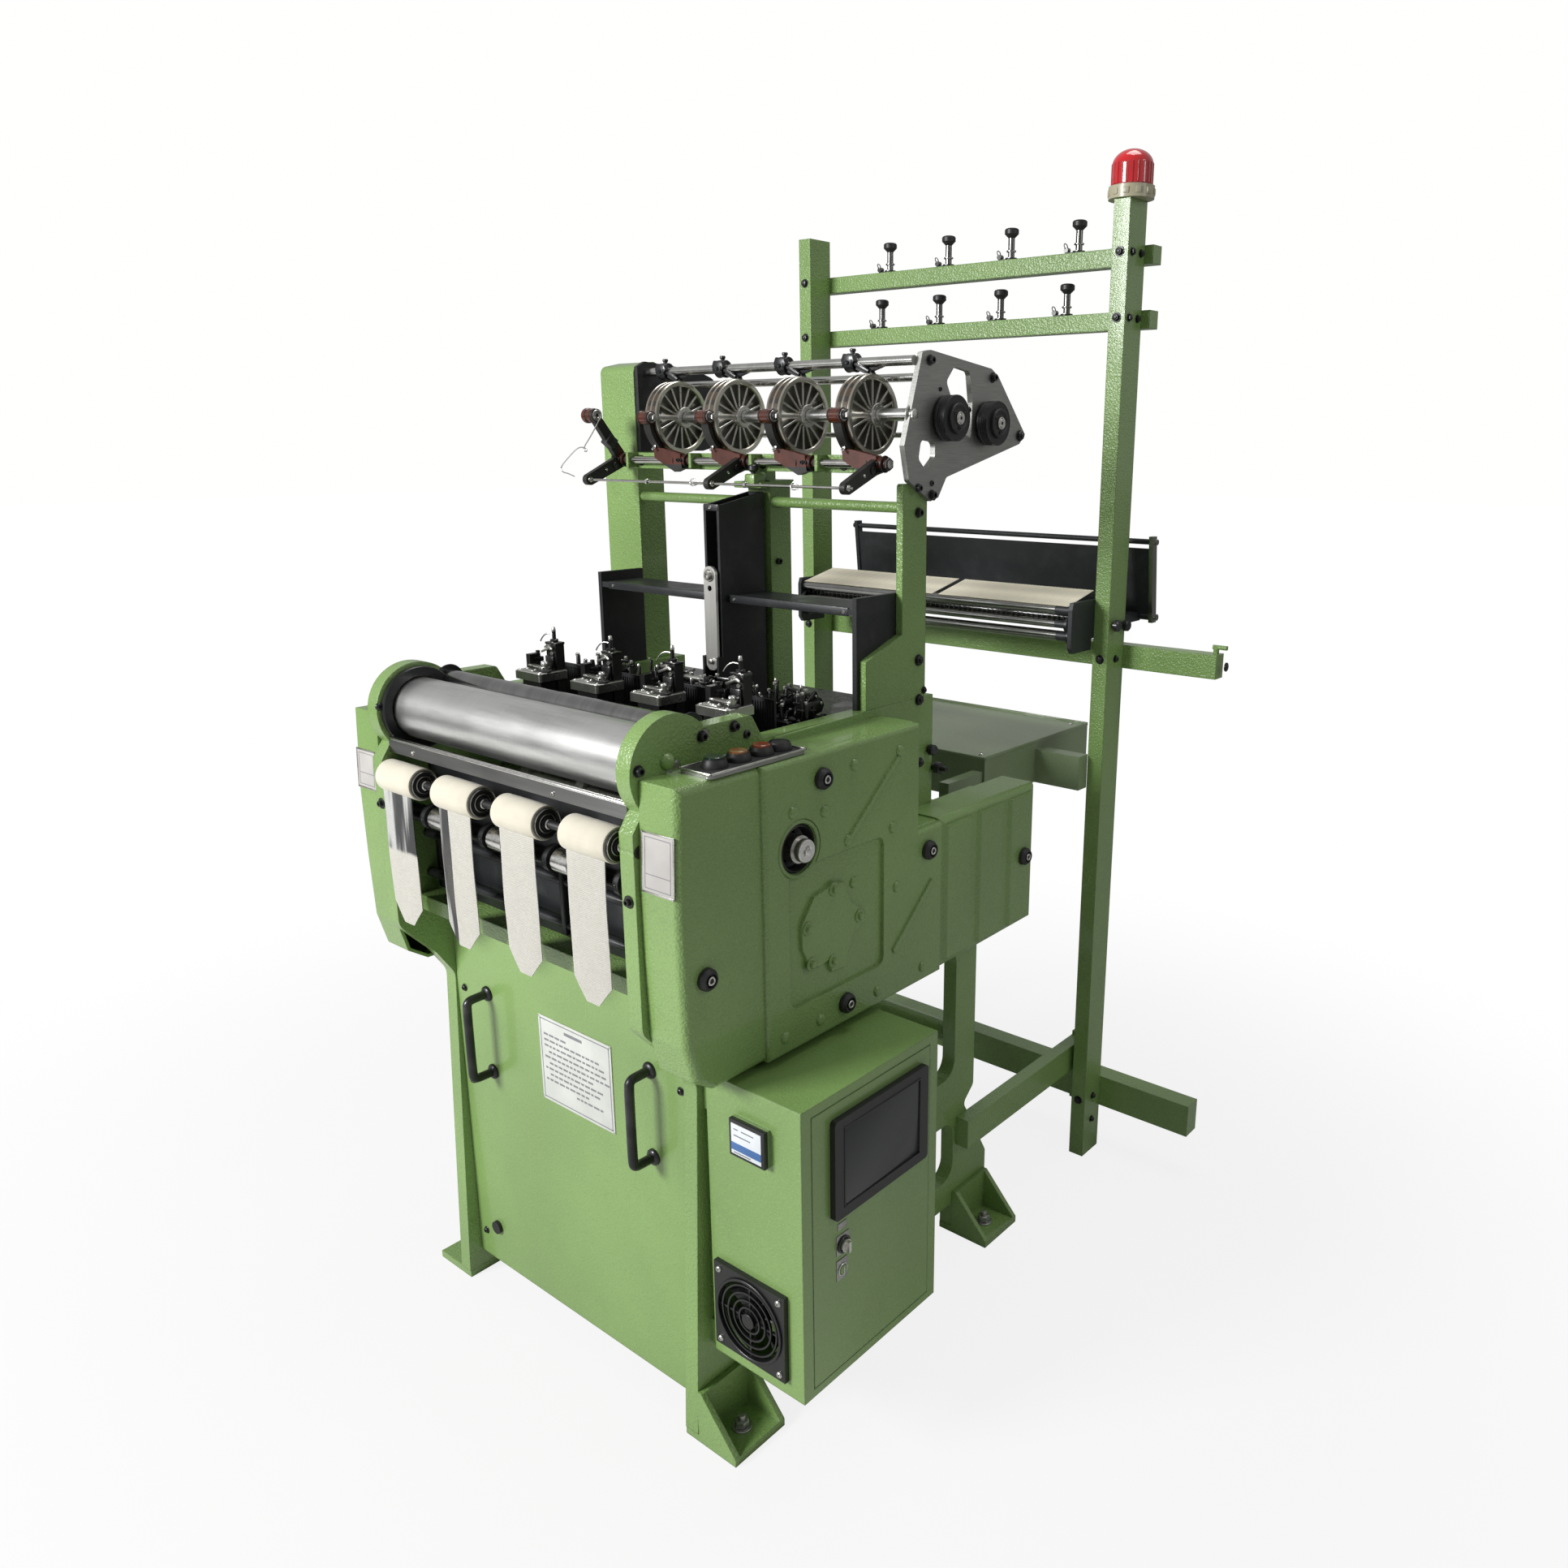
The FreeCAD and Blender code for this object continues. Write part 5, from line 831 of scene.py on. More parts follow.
# ---- front panel and control box
def panel_grips():
    """Two black bent-bar handles with flanged feet."""
    grips = Bench("bent_bar_handles", "black", "frame", "panel_handles", 50)
    low, high = HANDLE_Z - HANDLE_HALF, HANDLE_Z + HANDLE_HALF
    bend = [(0, low), (20, low), (37, low + 1), (38, low + 18), (38, HANDLE_Z), (38, high - 18), (37, high - 1),
            (20, high), (0, high)]
    for x in (-193, 193):
        grips.wire([(x, PANEL_Y - out, z) for out, z in bend], 7, 20)
        for z in (low, high):
            grips.spun((x, PANEL_Y, z), -Y, [(0, 0), (12.5, 0), (12.5, 2.6), (11.4, 4), (8.4, 6.4), (0, 6.4)], 32)


def instruction_plate():
    """A white plate with a dark border and plain grey bars, riveted on the front panel."""
    x0, x1, z0, z1 = -60, 110, 415, 556
    back, face = PANEL_Y - 1.3, PANEL_Y - 1.55
    Bench("instruction_plate", "white_paint").block((x0, PANEL_Y - 1.4, z0), (x1, PANEL_Y, z1), 0.4)
    lines = Bench("instruction_plate_bars", "grey_print")
    for a, b, c, d in border(x0 + 4, x1 - 4, z0 + 4, z1 - 4, 1.6):
        lines.block((a, face, c), (b, back, d), 0)
    lines.block((x0 + 62, face, z1 - 17), (x0 + 104, back, z1 - 12), 0)
    chance = random.Random(5)
    for row, (start, length) in enumerate(((12, 46), (12, 120), (12, 138), (22, 128), (12, 141), (22, 104), (12, 133),
                                           (22, 118), (12, 96), (84, 60))):
        x, z = x0 + start, z1 - 30 - row * 9.4
        while x < x0 + start + length:
            bar = chance.uniform(5, 13)
            lines.block((x, face, z), (x + bar, back, z + 3.2), 0)
            x += bar + 2.6
    rivets = Bench("instruction_plate_rivets", "bright_steel")
    for x in (x0 + 2.4, x1 - 2.4):
        for z in (z0 + 2.4, z1 - 2.4):
            rivets.spun((x, PANEL_Y - 1.4, z), -Y, [(0, 1), (1, 0.8), (1.7, 0), (0, 0)], 12)


def box_face():
    """The meter on the control box, with a bare card and plain bars."""
    Bench("meter_frame", "dark_plastic").plate(
        [(356, 486), (420, 486), (420, 540), (356, 540)], 7, across("y", BOX_FRONT - 12), 1.2)
    Bench("meter_face", "meter_card").block((361, BOX_FRONT - 13.2, 491), (415, BOX_FRONT - 11.8, 535), 0.4)
    bars = Bench("meter_bars", "grey_print")
    for x, wide, z in ((366, 8, 527), (380, 22, 527), (366, 30, 518), (366, 30, 493)):
        bars.block((x, BOX_FRONT - 13.5, z), (x + wide, BOX_FRONT - 13, z + 1.6), 0)
    Bench("meter_blue_band", "blue_print").block((361, BOX_FRONT - 13.5, 497), (415, BOX_FRONT - 13, 508), 0.1)


def door_fittings():
    """The screen's glass and its step, the bare plates, lock and key ring on the door, and its hinge pins."""
    Bench("screen_glass", "screen", "door").plate(
        [(-256.5, 416), (-95.5, 416), (-95.5, 530), (-256.5, 530)], 1.0, across("x", BOX_SIDE + 7.6), 0.3)
    step = Bench("screen_step", "dark_plastic", "door")
    for y0, y1, z0, z1 in ((-259, -93, 413, 416), (-259, -93, 530, 533), (-259, -256.5, 416, 530),
                           (-95.5, -93, 416, 530)):
        step.block((480, y0, z0), (483, y1, z1), 0.8)
    plates = Bench("door_label_plates", "plate_alloy", "door")
    for y0, y1, z0, z1, thick in ((-263, -245, 376, 386, 1), (-266, -244, 299, 330, 1.2),
                                  (-266, -240, 338, 368, 1.2)):
        plates.block((BOX_SIDE, y0, z0), (BOX_SIDE + thick, y1, z1), 0.3)
    lock = Bench("door_lock", "bright_steel", "door")
    lock.ring((BOX_SIDE + 1, -255, 314), X, 7.4, 9.4, 2.4, 0.6, 28)
    lock.block((BOX_SIDE + 3.8, -256, 309), (BOX_SIDE + 5, -254, 319), 0.3)
    Bench("key_switch_ring", "black", "door").ring((BOX_SIDE + 1, -253, 352), X, 9.4, 12.6, 3.6, 0.8, 32)
    hinge = Bench("door_hinge_pins", "box_enamel")
    for z in (200, 520):
        hinge.bar((BOX_SIDE - 3, -57.6, z - 22), (BOX_SIDE - 3, -57.6, z + 22), 3.2)


def fan_screws():
    """Four screws in the fan guard's corners, and the raised lip and hub on its face."""
    screws = Bench("fan_guard_screws", "bright_steel")
    for x in (FAN_X - 56, FAN_X + 56):
        for z in (FAN_Z - 56, FAN_Z + 56):
            screws.screw((x, BOX_FRONT - 8, z), -Y, 5)
    lip = Bench("fan_guard_lip", "dark_plastic")
    lip.ring((FAN_X, BOX_FRONT - 8.6, FAN_Z), -Y, 57.4, 61.5, 2.4, 0.9, 56)
    lip.ring((FAN_X, BOX_FRONT - 9.4, FAN_Z), -Y, 0.5, 11, 1.6, 0.6, 32)


# ---- the head
def wheel_rims():
    """Beads on the edges of each wheel's rim, a brown band between them with slots, and hub collars."""
    beads = Bench("wheel_rim_beads", "wheel_alloy", "feed")
    bands = Bench("wheel_grip_bands", "brown_band", "feed")
    slots = Bench("wheel_band_slots", "rubber", "feed")
    spokes = Bench("wheel_spoke_edges", "bright_steel", "feed")
    hubs = Bench("wheel_hub_collars", "bright_steel", "feed")
    # piece, start beside the wheel's middle, inner and outer radius, width, rounding, sides
    rings = ((beads, -13.6, WHEEL_R - 5.6, WHEEL_R + 1.4, 3.2, 1.2, 72),
             (beads, 10.4, WHEEL_R - 6.2, WHEEL_R + 2.4, 4.4, 1.5, 72),
             (bands, -10.2, WHEEL_R - 0.4, WHEEL_R + 0.8, 20.4, 0.4, 72),
             (beads, -1.8, WHEEL_R - 0.4, WHEEL_R + 1.6, 3.4, 0.9, 72),
             (hubs, 19, 9.1, 17, 5, 1, 40), (hubs, -24, 9.1, 14, 5, 1, 36))
    for x in WHEELS:
        for piece, beside, *ring in rings:
            piece.ring((x + beside, SHAFT_Y, SHAFT_Z), X, *ring)
        for turn in range(16):
            spot = turned((x, SHAFT_Y, SHAFT_Z), math.tau * turn / 16)
            for x0 in (-8, 3.4):
                slots.block((x0, -4, WHEEL_R + 0.4), (x0 + 4.6, 4, WHEEL_R + 1.2), 0.3, spot, 1)
            spokes.block((11.2, -1.7, 15), (12.6, 1.7, WHEEL_R - 6), 0.5, spot, 1)
        hubs.screw((x + 21.5, SHAFT_Y - 16.8, SHAFT_Z), -Y, 2.2, 10)
        for y, z in round_about(SHAFT_Y, SHAFT_Z, 12.6, 8, math.tau / 16):
            hubs.spun((x + 19, y, z), X, [(0, 5.6), (1, 5.6), (1.4, 5), (1.4, 0), (0, 0)], 8)


def shaft_end():
    """The collar and nut on the feed shaft's bare end, outside the right head plate."""
    end = Bench("feed_shaft_nut", "bright_steel", "feed")
    out = edge("feed_shaft", 0, 1)
    end.ring((out - 7, SHAFT_Y, SHAFT_Z), X, 9.1, 13.4, 3, 0.7, 32)
    end.nut((out - 4, SHAFT_Y, SHAFT_Z), X, 8.2, 6.6, 1)


def lever_ends():
    """What the pressers carry: dark nuts on the bosses, roller ends, sleeves and bright pins."""
    nuts = Bench("lever_boss_nuts", "black", "pressers")
    ends = Bench("presser_roller_ends", "bright_steel", "pressers")
    sleeves = Bench("presser_roller_sleeves", "red_brown", "pressers")
    pins = Bench("lever_arm_pins", "polished", "pressers")
    for b in BOSSES:
        nuts.nut((b + 17, LEVER_Y, LEVER_Z), X, 9.6, 4.5, 1)
        nuts.ring((b - 14.6, LEVER_Y, LEVER_Z), X, 6.4, 12.2, 2.4, 0.8, 32)
        nuts.ring((b + 11.6, LEVER_Y, LEVER_Z), X, 9.6, 12.2, 2.4, 0.8, 32)
        for x in (b - 1, b + 6):
            nuts.cap_screw((x, LEVER_Y - 10.4, LEVER_Z + 1), -Y, 3)
    for x in WHEELS:
        for beside, outer, wide, soft in ((-11.6, 10.9, 2.8, 0.9), (8.8, 10.9, 2.8, 0.9), (-7.4, 10.5, 14.8, 0.6)):
            sleeves.ring((x + beside, ROLLER_Y, ROLLER_Z), X, 6, outer, wide, soft)
        ends.nut((x + 18.4, ROLLER_Y, ROLLER_Z), X, 5.6, 3.8, 0.7)
        ends.ring((x + 12, ROLLER_Y, ROLLER_Z), X, 4, 8.4, 1.6, 0.5, 28)
        ends.screw((x - 2, 62, 1380.5), -Y, 2.6, 12)
        pins.bar((x - 4, 71, 1384), (x - 4, 66.5, 1384), 3.4, None, 0.8, 16)
    # the arm at the left end ends in an eye instead of a roller
    eye = BOSSES[0]
    for piece, beside, inner, outer, wide, soft, sides in (
            (sleeves, -18.8, 8, 12.4, 9, 1.4, 40), (sleeves, -6, 8, 11.9, 8, 1, 40),
            (ends, -21.4, 3, 8, 2.4, 0.8, 32), (ends, 7, 3.2, 9.4, 3, 0.9, 32)):
        piece.ring((eye + beside, EYE_Y, EYE_Z), X, inner, outer, wide, soft, sides)
    nuts.block((eye - 8.4, 46, 1383), (eye + 8.4, 66, 1402), 2.2,
               turned((0, 56, 1392), -0.65) @ Matrix.Translation((0, -56, -1392)))
    for b in BOSSES[::2]:
        pins.bar((b - 7.4, 42, 1346), (b + 7.4, 42, 1346), 2.4, None, 0.7, 14)
        pins.bar((b - 6.6, RELEASE_Y, RELEASE_Z), (b + 6.6, RELEASE_Y, RELEASE_Z), 4.6, None, 0.9, 18)
        nuts.ring((b + 5.2, 62, 1353), X, 0.4, 5.2, 2.2, 0.6, 20)
    for x in (62, -160):
        pins.ring((x, RELEASE_Y, RELEASE_Z), X, 2.2, 4.4, 5, 0.8, 18)


def bent_wires():
    """Thin bent spring wires on the pressers: a hooked one at the left end and two loops further in."""
    wires = Bench("bent_spring_wires", "polished", "pressers", sharp=50)
    wires.wire([(-290, 20, 1421), (-306, 18, 1401), (-330, 18, 1380), (-322, 18, 1374), (-318, 18, 1379),
                (-330, 18, 1383), (-345, 18, 1381), (-372, 18, 1364), (-395, 18, 1348), (-388, 18, 1340),
                (-374, 18, 1339), (-357, 18, 1334)], 1.0)
    wires.wire([(-290, 20, 1421), (-288, 24, 1430), (-290, 30, 1436)], 1.0)
    wires.wire([(-36, 8, 1331), (-47, 7, 1340), (-57, 6, 1330), (-48, 5, 1325), (-39, 5, 1328)], 0.9)
    wires.wire([(175, 8, 1331), (166, 6, 1339), (158, 5, 1330), (166, 4, 1324), (174, 5, 1327)], 0.9)


def clamp_fittings():
    """Thumb screws and spring blades on the clamps over the wheels."""
    blades = Bench("clamp_spring_blades", "black")
    screws = Bench("clamp_thumb_screws", "black")
    for x in WHEELS:
        c = x - 36
        screws.spun((c, CLAMP_Y, 1522), Z, [(0, 4.4), (3.6, 4.4), (4.6, 3.6), (4.8, 1.2), (4, 0), (0, 0)], 18)
        screws.plate([(c - 13, 1510), (c - 10, 1498), (c + 6, 1500), (c + 13, 1508), (c + 9, 1517), (c - 9, 1519)],
                     12, across("y", 114), 1.5)
        for beside in (-9, 6):
            screws.ring((c + beside, CLAMP_Y, CLAMP_Z), X, 7.1, 13.8, 3, 1, 32)
        screws.screw((c, 113.4, CLAMP_Z), -Y, 3.2, 14)
        blades.block((-2, 117.5, -2.2), (40, 122, 3.2), 1.2, turned((c, 0, 1508), 0.42, "Y"))
        blades.plate([(c + 18, 1493), (c + 28, 1490), (c + 62, 1500), (c + 70, 1508), (c + 60, 1508), (c + 24, 1499)],
                     3, across("y", 128), 0.8)
        blades.screw((c + 4, 117.6, CLAMP_Z), -Y, 2.4, 12)


def head_bolts():
    """Bolts of the flat bar, the head plates, the pulleys' studs and the columns."""
    bolts = Bench("head_bolts", "black")
    dark = Bench("head_bolt_washers", "black")
    for x, z in ((-62, 1364), (20, 1360), (89, 1358), (187, 1360), (-196, 1361), (-268, 1361), (236, 1361)):
        dark.ring((x, 93, z), -Y, 3, 9, 1.6, 0.5, 24)
        bolts.cap_screw((x, 92, z), -Y, 5.6)
    for y, z, r in ((160, 1334, 4.4), (178, 1468, 3.4), (252, 1440, 4.4), (346, 1412, 4)):
        bolts.screw((HEAD_FACE, y, z), X, r)
    for _, y, z in PULLEYS:
        dark.ring((HEAD_FACE, y, z), X, 7.2, 13, 3.4, 0.8, 32)
    for y, z, r in ((150, 908, 5.4), (158, 1022, 4), (177, 1314, 4)):
        dark.ring((FRAME_RIGHT, y, z), X, r * 0.5, r * 1.5, 1.4, 0.5, 24)
        bolts.hex_bolt((FRAME_RIGHT, y, z), X, r)


def pulley_faces():
    """A black dished face, rims, grooves, three screws and a bright hub on each belt pulley."""
    for body, y, z in PULLEYS:
        face = Bench(body + "_face", "rubber", body)
        face.spun((322, y, z), X, [(7.2, 0), (21.4, 0), (22, 0.8), (22, 3.6), (20.6, 5.4), (18, 5.6), (16, 4.4),
                                   (9, 4.4), (8, 5), (7.2, 5)], 48)
        rim = Bench(body + "_rim", "black", body)
        for x in (318.5, 303.6):
            rim.ring((x, y, z), X, 30.4, 33.2, 4.2, 1.1, 64)
        for screw_y, screw_z in round_about(y, z, 14, 3, 0.5):
            rim.screw((327, screw_y, screw_z), X, 2.6, 14)
        hub = Bench(body + "_hub", "bright_steel", body)
        hub.ring((326.8, y, z), X, 7.1, 9.4, 2.6, 0.8, 28)
        hub.spun((327.8, y, z), X, [(2.6, 0.4), (2.6, 1.8), (6.2, 1.8), (6.8, 1), (6.8, 0.4)], 24)
        groove = Bench(body + "_grooves", "rubber", body)
        for x in (307.6, 311, 314.4):
            groove.ring((x, y, z), X, 31, 32.9, 1.8, 0.5, 56)


def mid_column_top():
    """The bracket, clamp bolts and black knob on the middle column's top."""
    top = Bench("mid_column_bracket", "enamel")
    top.block((-30, 76, 1322), (30, 100, 1332), 2)
    top.block((4, 66, 1326), (26, 92, 1344), 3)
    knob = Bench("mid_column_knob", "black")
    knob.spun((15, 76, 1343), Z, [(0, 15), (6, 15), (8, 13.4), (8.4, 7), (6, 4.6), (3.6, 3), (3.6, 0), (0, 0)], 24)
    for z in (1296, 1206):
        knob.cap_screw((25, 118, z), X, 5.2)


# x, y, z and radius; those of radius 8 are hexagons
FACE_BOLTS = [(HEAD_FACE, 152, 1507, 7), (HEAD_FACE, 314, 1489, 7), (HEAD_FACE, 395, 1403, 8),
              (HEAD_FACE, 126, 1328, 6), (HEAD_FACE, 160, 1317, 7), (291, 139, 1292, 7), (291, 143, 1071, 8),
              (291, 145, 1009, 8), (291, -308, 1035, 7), (291, -251, 1038, 7), (291, -412, 1011, 7)]
PANEL_SCREWS = [(-256, 375), (256, 538), (256, 102), (-256, 540), (-256, 90)]


def fastener_heads():
    """Socket and hexagon heads of the visible bolts, each on its washer."""
    heads = Bench("bolt_heads", "black", "frame", "fasteners")
    washers = Bench("bolt_washers", "black", "frame", "fasteners")
    for x, y, z, r in FACE_BOLTS:
        washers.ring((x, y, z), X, r * 0.4, r * 1.12, 1.4, 0.5, 28)
        if r == 8:
            heads.nut((x + 1.4, y, z), X, r, 3.8)
            heads.bar((x + 5, y, z), (x + 8, y, z), r * 0.5, r * 0.44, 0.6, 16)
        else:
            heads.cap_screw((x + 1.4, y, z), X, r * 0.78)
    for x, z in PANEL_SCREWS:
        washers.ring((x, PANEL_Y, z), -Y, 2.4, 6.4, 1.2, 0.4, 24)
        heads.screw((x, PANEL_Y - 1.1, z), -Y, 5)
    for x in POSTS_X:
        for z in (*RAILS_Z, MID_RAIL_Z, 122):
            heads.hex_bolt((x, POST_FRONT, z), -Y, 6.2)


# ---- the bed
def weft_faces():
    """Bright face plates on the weft heads, their dark slots, pivot discs and screws."""
    faces = Bench("weft_face_plates", "plate_bright")
    dark = Bench("weft_face_slots", "rubber")
    bright = Bench("weft_face_screws", "polished")
    for lane in LANES:
        # piece, x0, y0, x1, y1 and corner radius, then thickness, height over the plate and rounding
        for piece, x0, y0, x1, y1, corner, thick, up, soft in (
                (faces, -32, -210, 32, -158, 6, 2.2, -0.6, 1.1), (faces, -25, -204, 6, -186, 4, 1.2, 1.4, 0.5),
                (dark, -20, -181, -2, -176, 2.4, 0.5, 1.3, 0), (dark, 8, -205, 12, -196, 1.9, 0.5, 1.3, 0)):
            piece.plate(rounded(lane + x0, y0, lane + x1, y1, corner), thick, across("z", PLATE_Z + up), soft)
        for x, y, r, up in ((-26, -205, 2.6, 1.4), (26, -205, 2.6, 1.4), (-26, -164, 2.6, 1.4),
                            (-20, -195, 2.2, 2.6), (0, -195, 2.2, 2.6)):
            bright.screw((lane + x, y, PLATE_Z + up), Z, r, 12)
        dark.spun((lane + PIVOT_X, PIVOT_Y, PLATE_Z + 1.2), Z,
                  [(5.1, 0), (11, 0), (11, 2.4), (10, 3.4), (5.1, 3.4)], 32)


def needle_clamps():
    """A clamp screw and a hooked tip on each weft needle."""
    for lane, letter in zip(LANES, "abcd"):
        clamp = Bench("weft_needle_clamp_" + letter, "polished", "needle_" + letter, sharp=40)
        clamp.spun((lane + PIVOT_X, PIVOT_Y, PLATE_Z + 14), Z,
                   [(0, 3.6), (3.4, 3.6), (4.6, 2.6), (5.2, 0.6), (5.2, 0), (0, 0)], 24)
        clamp.block((lane + 15, -200, PLATE_Z + 5), (lane + 25, -186, PLATE_Z + 10), 1.2)
        clamp.wire([(lane + x, y, PLATE_Z + 7.5) for x, y in ((-16, -191), (-22, -192), (-25, -189), (-22.5, -187))],
                   0.8)


def finger_blocks():
    """The steel forked fingers, guides and screws on the black blocks behind the weft heads."""
    fingers = Bench("forked_fingers", "bright_steel")
    dark = Bench("finger_block_caps", "oily")
    top, y = PLATE_Z + 42, -166
    outline = ((-2, -8), (20, 1), (26, -2), (26, -5), (18, -4), (-1, -11))
    for lane in LANES:
        for side in (-3.2, 3.2):
            fingers.plate([(lane + x, top + up + side) for x, up in outline], 2.0, across("y", y - 12 + side), 0.4)
        fingers.cap_screw((lane + 10, y - 8, top - 6), -Y, 3.2)
        fingers.cap_screw((lane + 20, y - 8, top - 14), -Y, 3.2)
        fingers.bar((lane + 14, y, top + 19), (lane + 14, y, top + 26), 3.4, 2.4, 0.8, 16)
        fingers.wire([(lane + 14, y, top + 14), (lane + 4, y - 3, top + 17), (lane - 8, y - 6, top + 10),
                      (lane - 12, y - 7, top + 2)], 1.1)
        fingers.screw((lane - 34, y - 8, PLATE_Z + 12), -Y, 2.4, 12)
        dark.block((lane + 1.5, y - 9.4, top - 1), (lane + 28.4, y + 9, top + 3), 1.2)
        dark.ring((lane + 14, y, top + 3), Z, 3.2, 6.4, 4, 0.8, 24)
        dark.block((lane + 5, y - 13, PLATE_Z + 2), (lane + 24, y - 7, PLATE_Z + 24), 1.5)
        dark.cap_screw((lane - 34, y + 2, PLATE_Z + 22), Z, 3.4)
        dark.block((lane - 40, y - 8, PLATE_Z + 8), (lane - 28, y + 9, PLATE_Z + 16), 1.4)


def shed_linkage():
    """Oily black levers, rods and cam discs on the bed between the reeds and the harness guide."""
    oily = Bench("shed_levers", "oily")
    bright = Bench("shed_lever_pins", "bright_steel")
    for k, (lane, lean) in enumerate(zip(LANES, (0.3, -0.2, 0.25, -0.3))):
        for i, beside in enumerate((-36, -22, -8, 6, 20, 34)):
            x, y0, y1 = lane + beside, -74 + 4 * (i % 3), -16 - 5 * (i % 2)
            low, high = 1006 + 6 * ((i + k) % 3), 1034 + 7 * ((i + k) % 2)
            oily.plate([(y0, low), (y0 + 10, low - 9), (y1 - 6, low - 6), (y1, high - 12), (y1 - 7, high),
                        (y1 - 15, high - 4), (y0 + 22, low + 12), (y0 + 6, low + 11)], 4.5, across("x", x), 1.0)
            bright.bar((x - 1.6, y1 - 7.5, high - 8), (x + 6.2, y1 - 7.5, high - 8), 2.4, None, 0.6, 12)
        oily.bar((lane - 44, -66, 1004), (lane + 46, -66, 1004), 5, None, 1, 18)
        oily.bar((lane - 40, -30, 1001), (lane + 42, -30, 1001), 6.4, None, 1, 20)
        oily.ring((lane + 42, -30, 1001), X, 2, 10.4, 5, 1.2, 28)
        oily.spun((lane - 48, -48, BED_Z - 0.1), Z, [(0, 20), (7, 20), (9, 18), (9, 6), (12, 4), (12, 0), (0, 0)], 28)
        bright.cap_screw((lane - 48, -48, BED_Z + 19.5), Z, 4)
        oily.block((lane - 30, -92, BED_Z - 0.1), (lane + 30, -80, BED_Z + 14), 2)
        for x in (-22, 0, 22):
            bright.cap_screw((lane + x, -86, BED_Z + 13.4), Z, 3.2)
        spot = turned((lane + 8, -46, 1042), lean, "Z")
        oily.block((-30, -4, -3), (30, 4, 3), 1.4, spot)
        for x in (-24, 24):
            bright.nut(spot @ Vector((x, 0, 2)), Z, 3.4, 6, 0.8)
    chance = random.Random(11)
    for i in range(72):
        x, y = -262 + 7.3 * i, chance.uniform(-90, -12)
        top, r = chance.uniform(1012, 1052), chance.uniform(1.8, 3.4)
        if abs(x) > 20 or y < -40:
            oily.bar((x, y, BED_Z - 0.2), (x + chance.uniform(-5, 5), y, top), r + 1, r, 0.4, 12)
            bright.spun((x, y, top - 1), Z, [(0, 5), (r * 0.6, 4.6), (r, 3.2), (r, 0), (0, 0)], 12)
            oily.ring((x, y, chance.uniform(998, top - 6)), Z, r * 0.9, r + 4.5, 3, 0.7, 16)
    bright.bar((-12, -64, 1040), (54, -64, 1040), 4.2, None, 1, 20)
    for ring_x, x0, x1 in ((-14, -18, -9), (48, 47, 55)):
        oily.ring((ring_x, -64, 1040), X, 4.3, 8, 6, 1, 24)
        oily.block((x0, -70, BED_Z), (x1, -58, 1036), 1.5)


def bed_edges():
    """Screws along the bed's front edge and the small blocks that clamp the weft heads."""
    screws = Bench("bed_front_screws", "bright_steel")
    blocks = Bench("bed_clamp_blocks", "oily")
    for lane in LANES:
        for x in (lane - 46, lane + 46):
            screws.cap_screw((x, -244, BED_Z - 0.2), Z, 4.4)
            blocks.block((x - 9, -226, BED_Z - 0.2), (x + 9, -196, BED_Z + 11), 2)
            screws.cap_screw((x, -211, BED_Z + 10.6), Z, 4.2)
        blocks.plate(rounded(lane - 26, -240, lane + 26, -216, 4), 6, across("z", BED_Z - 0.1), 1)
        for x in (lane - 18, lane + 18):
            screws.screw((x, -228, BED_Z + 6), Z, 3, 14)


def guide_fittings():
    """Bolts on the harness shelf and the black fittings round the link bar."""
    bolts = Bench("harness_shelf_bolts", "bright_steel")
    dark = Bench("harness_shelf_blocks", "lacquer")
    dark.block((INNER_LEFT + 4, 11.4, 1149), (-18, 16, 1161.5), 1)
    dark.block((18, 11.4, 1149), (262, 16, 1161.5), 1)
    for x, y, z, r in ((-262, 12, 1155, 2.6), (-30, 12, 1155, 2.6), (30, 12, 1155, 2.6), (254, 12, 1155, 2.6),
                       (0, -4, 1295, 3.2)):
        bolts.screw((x, y, z), -Y, r, 14)
    bolts.cap_screw((0, -11, 1192), -Y, 6.4)
    bolts.ring((0, -10.6, 1192), -Y, 4, 10, 2, 0.6, 28)
    bolts.bar((0, -16, 1057), (0, -4, 1057), 4.2, None, 0.8, 18)
    dark.block((-16, -4, 1290), (16, 0, 1300), 1)


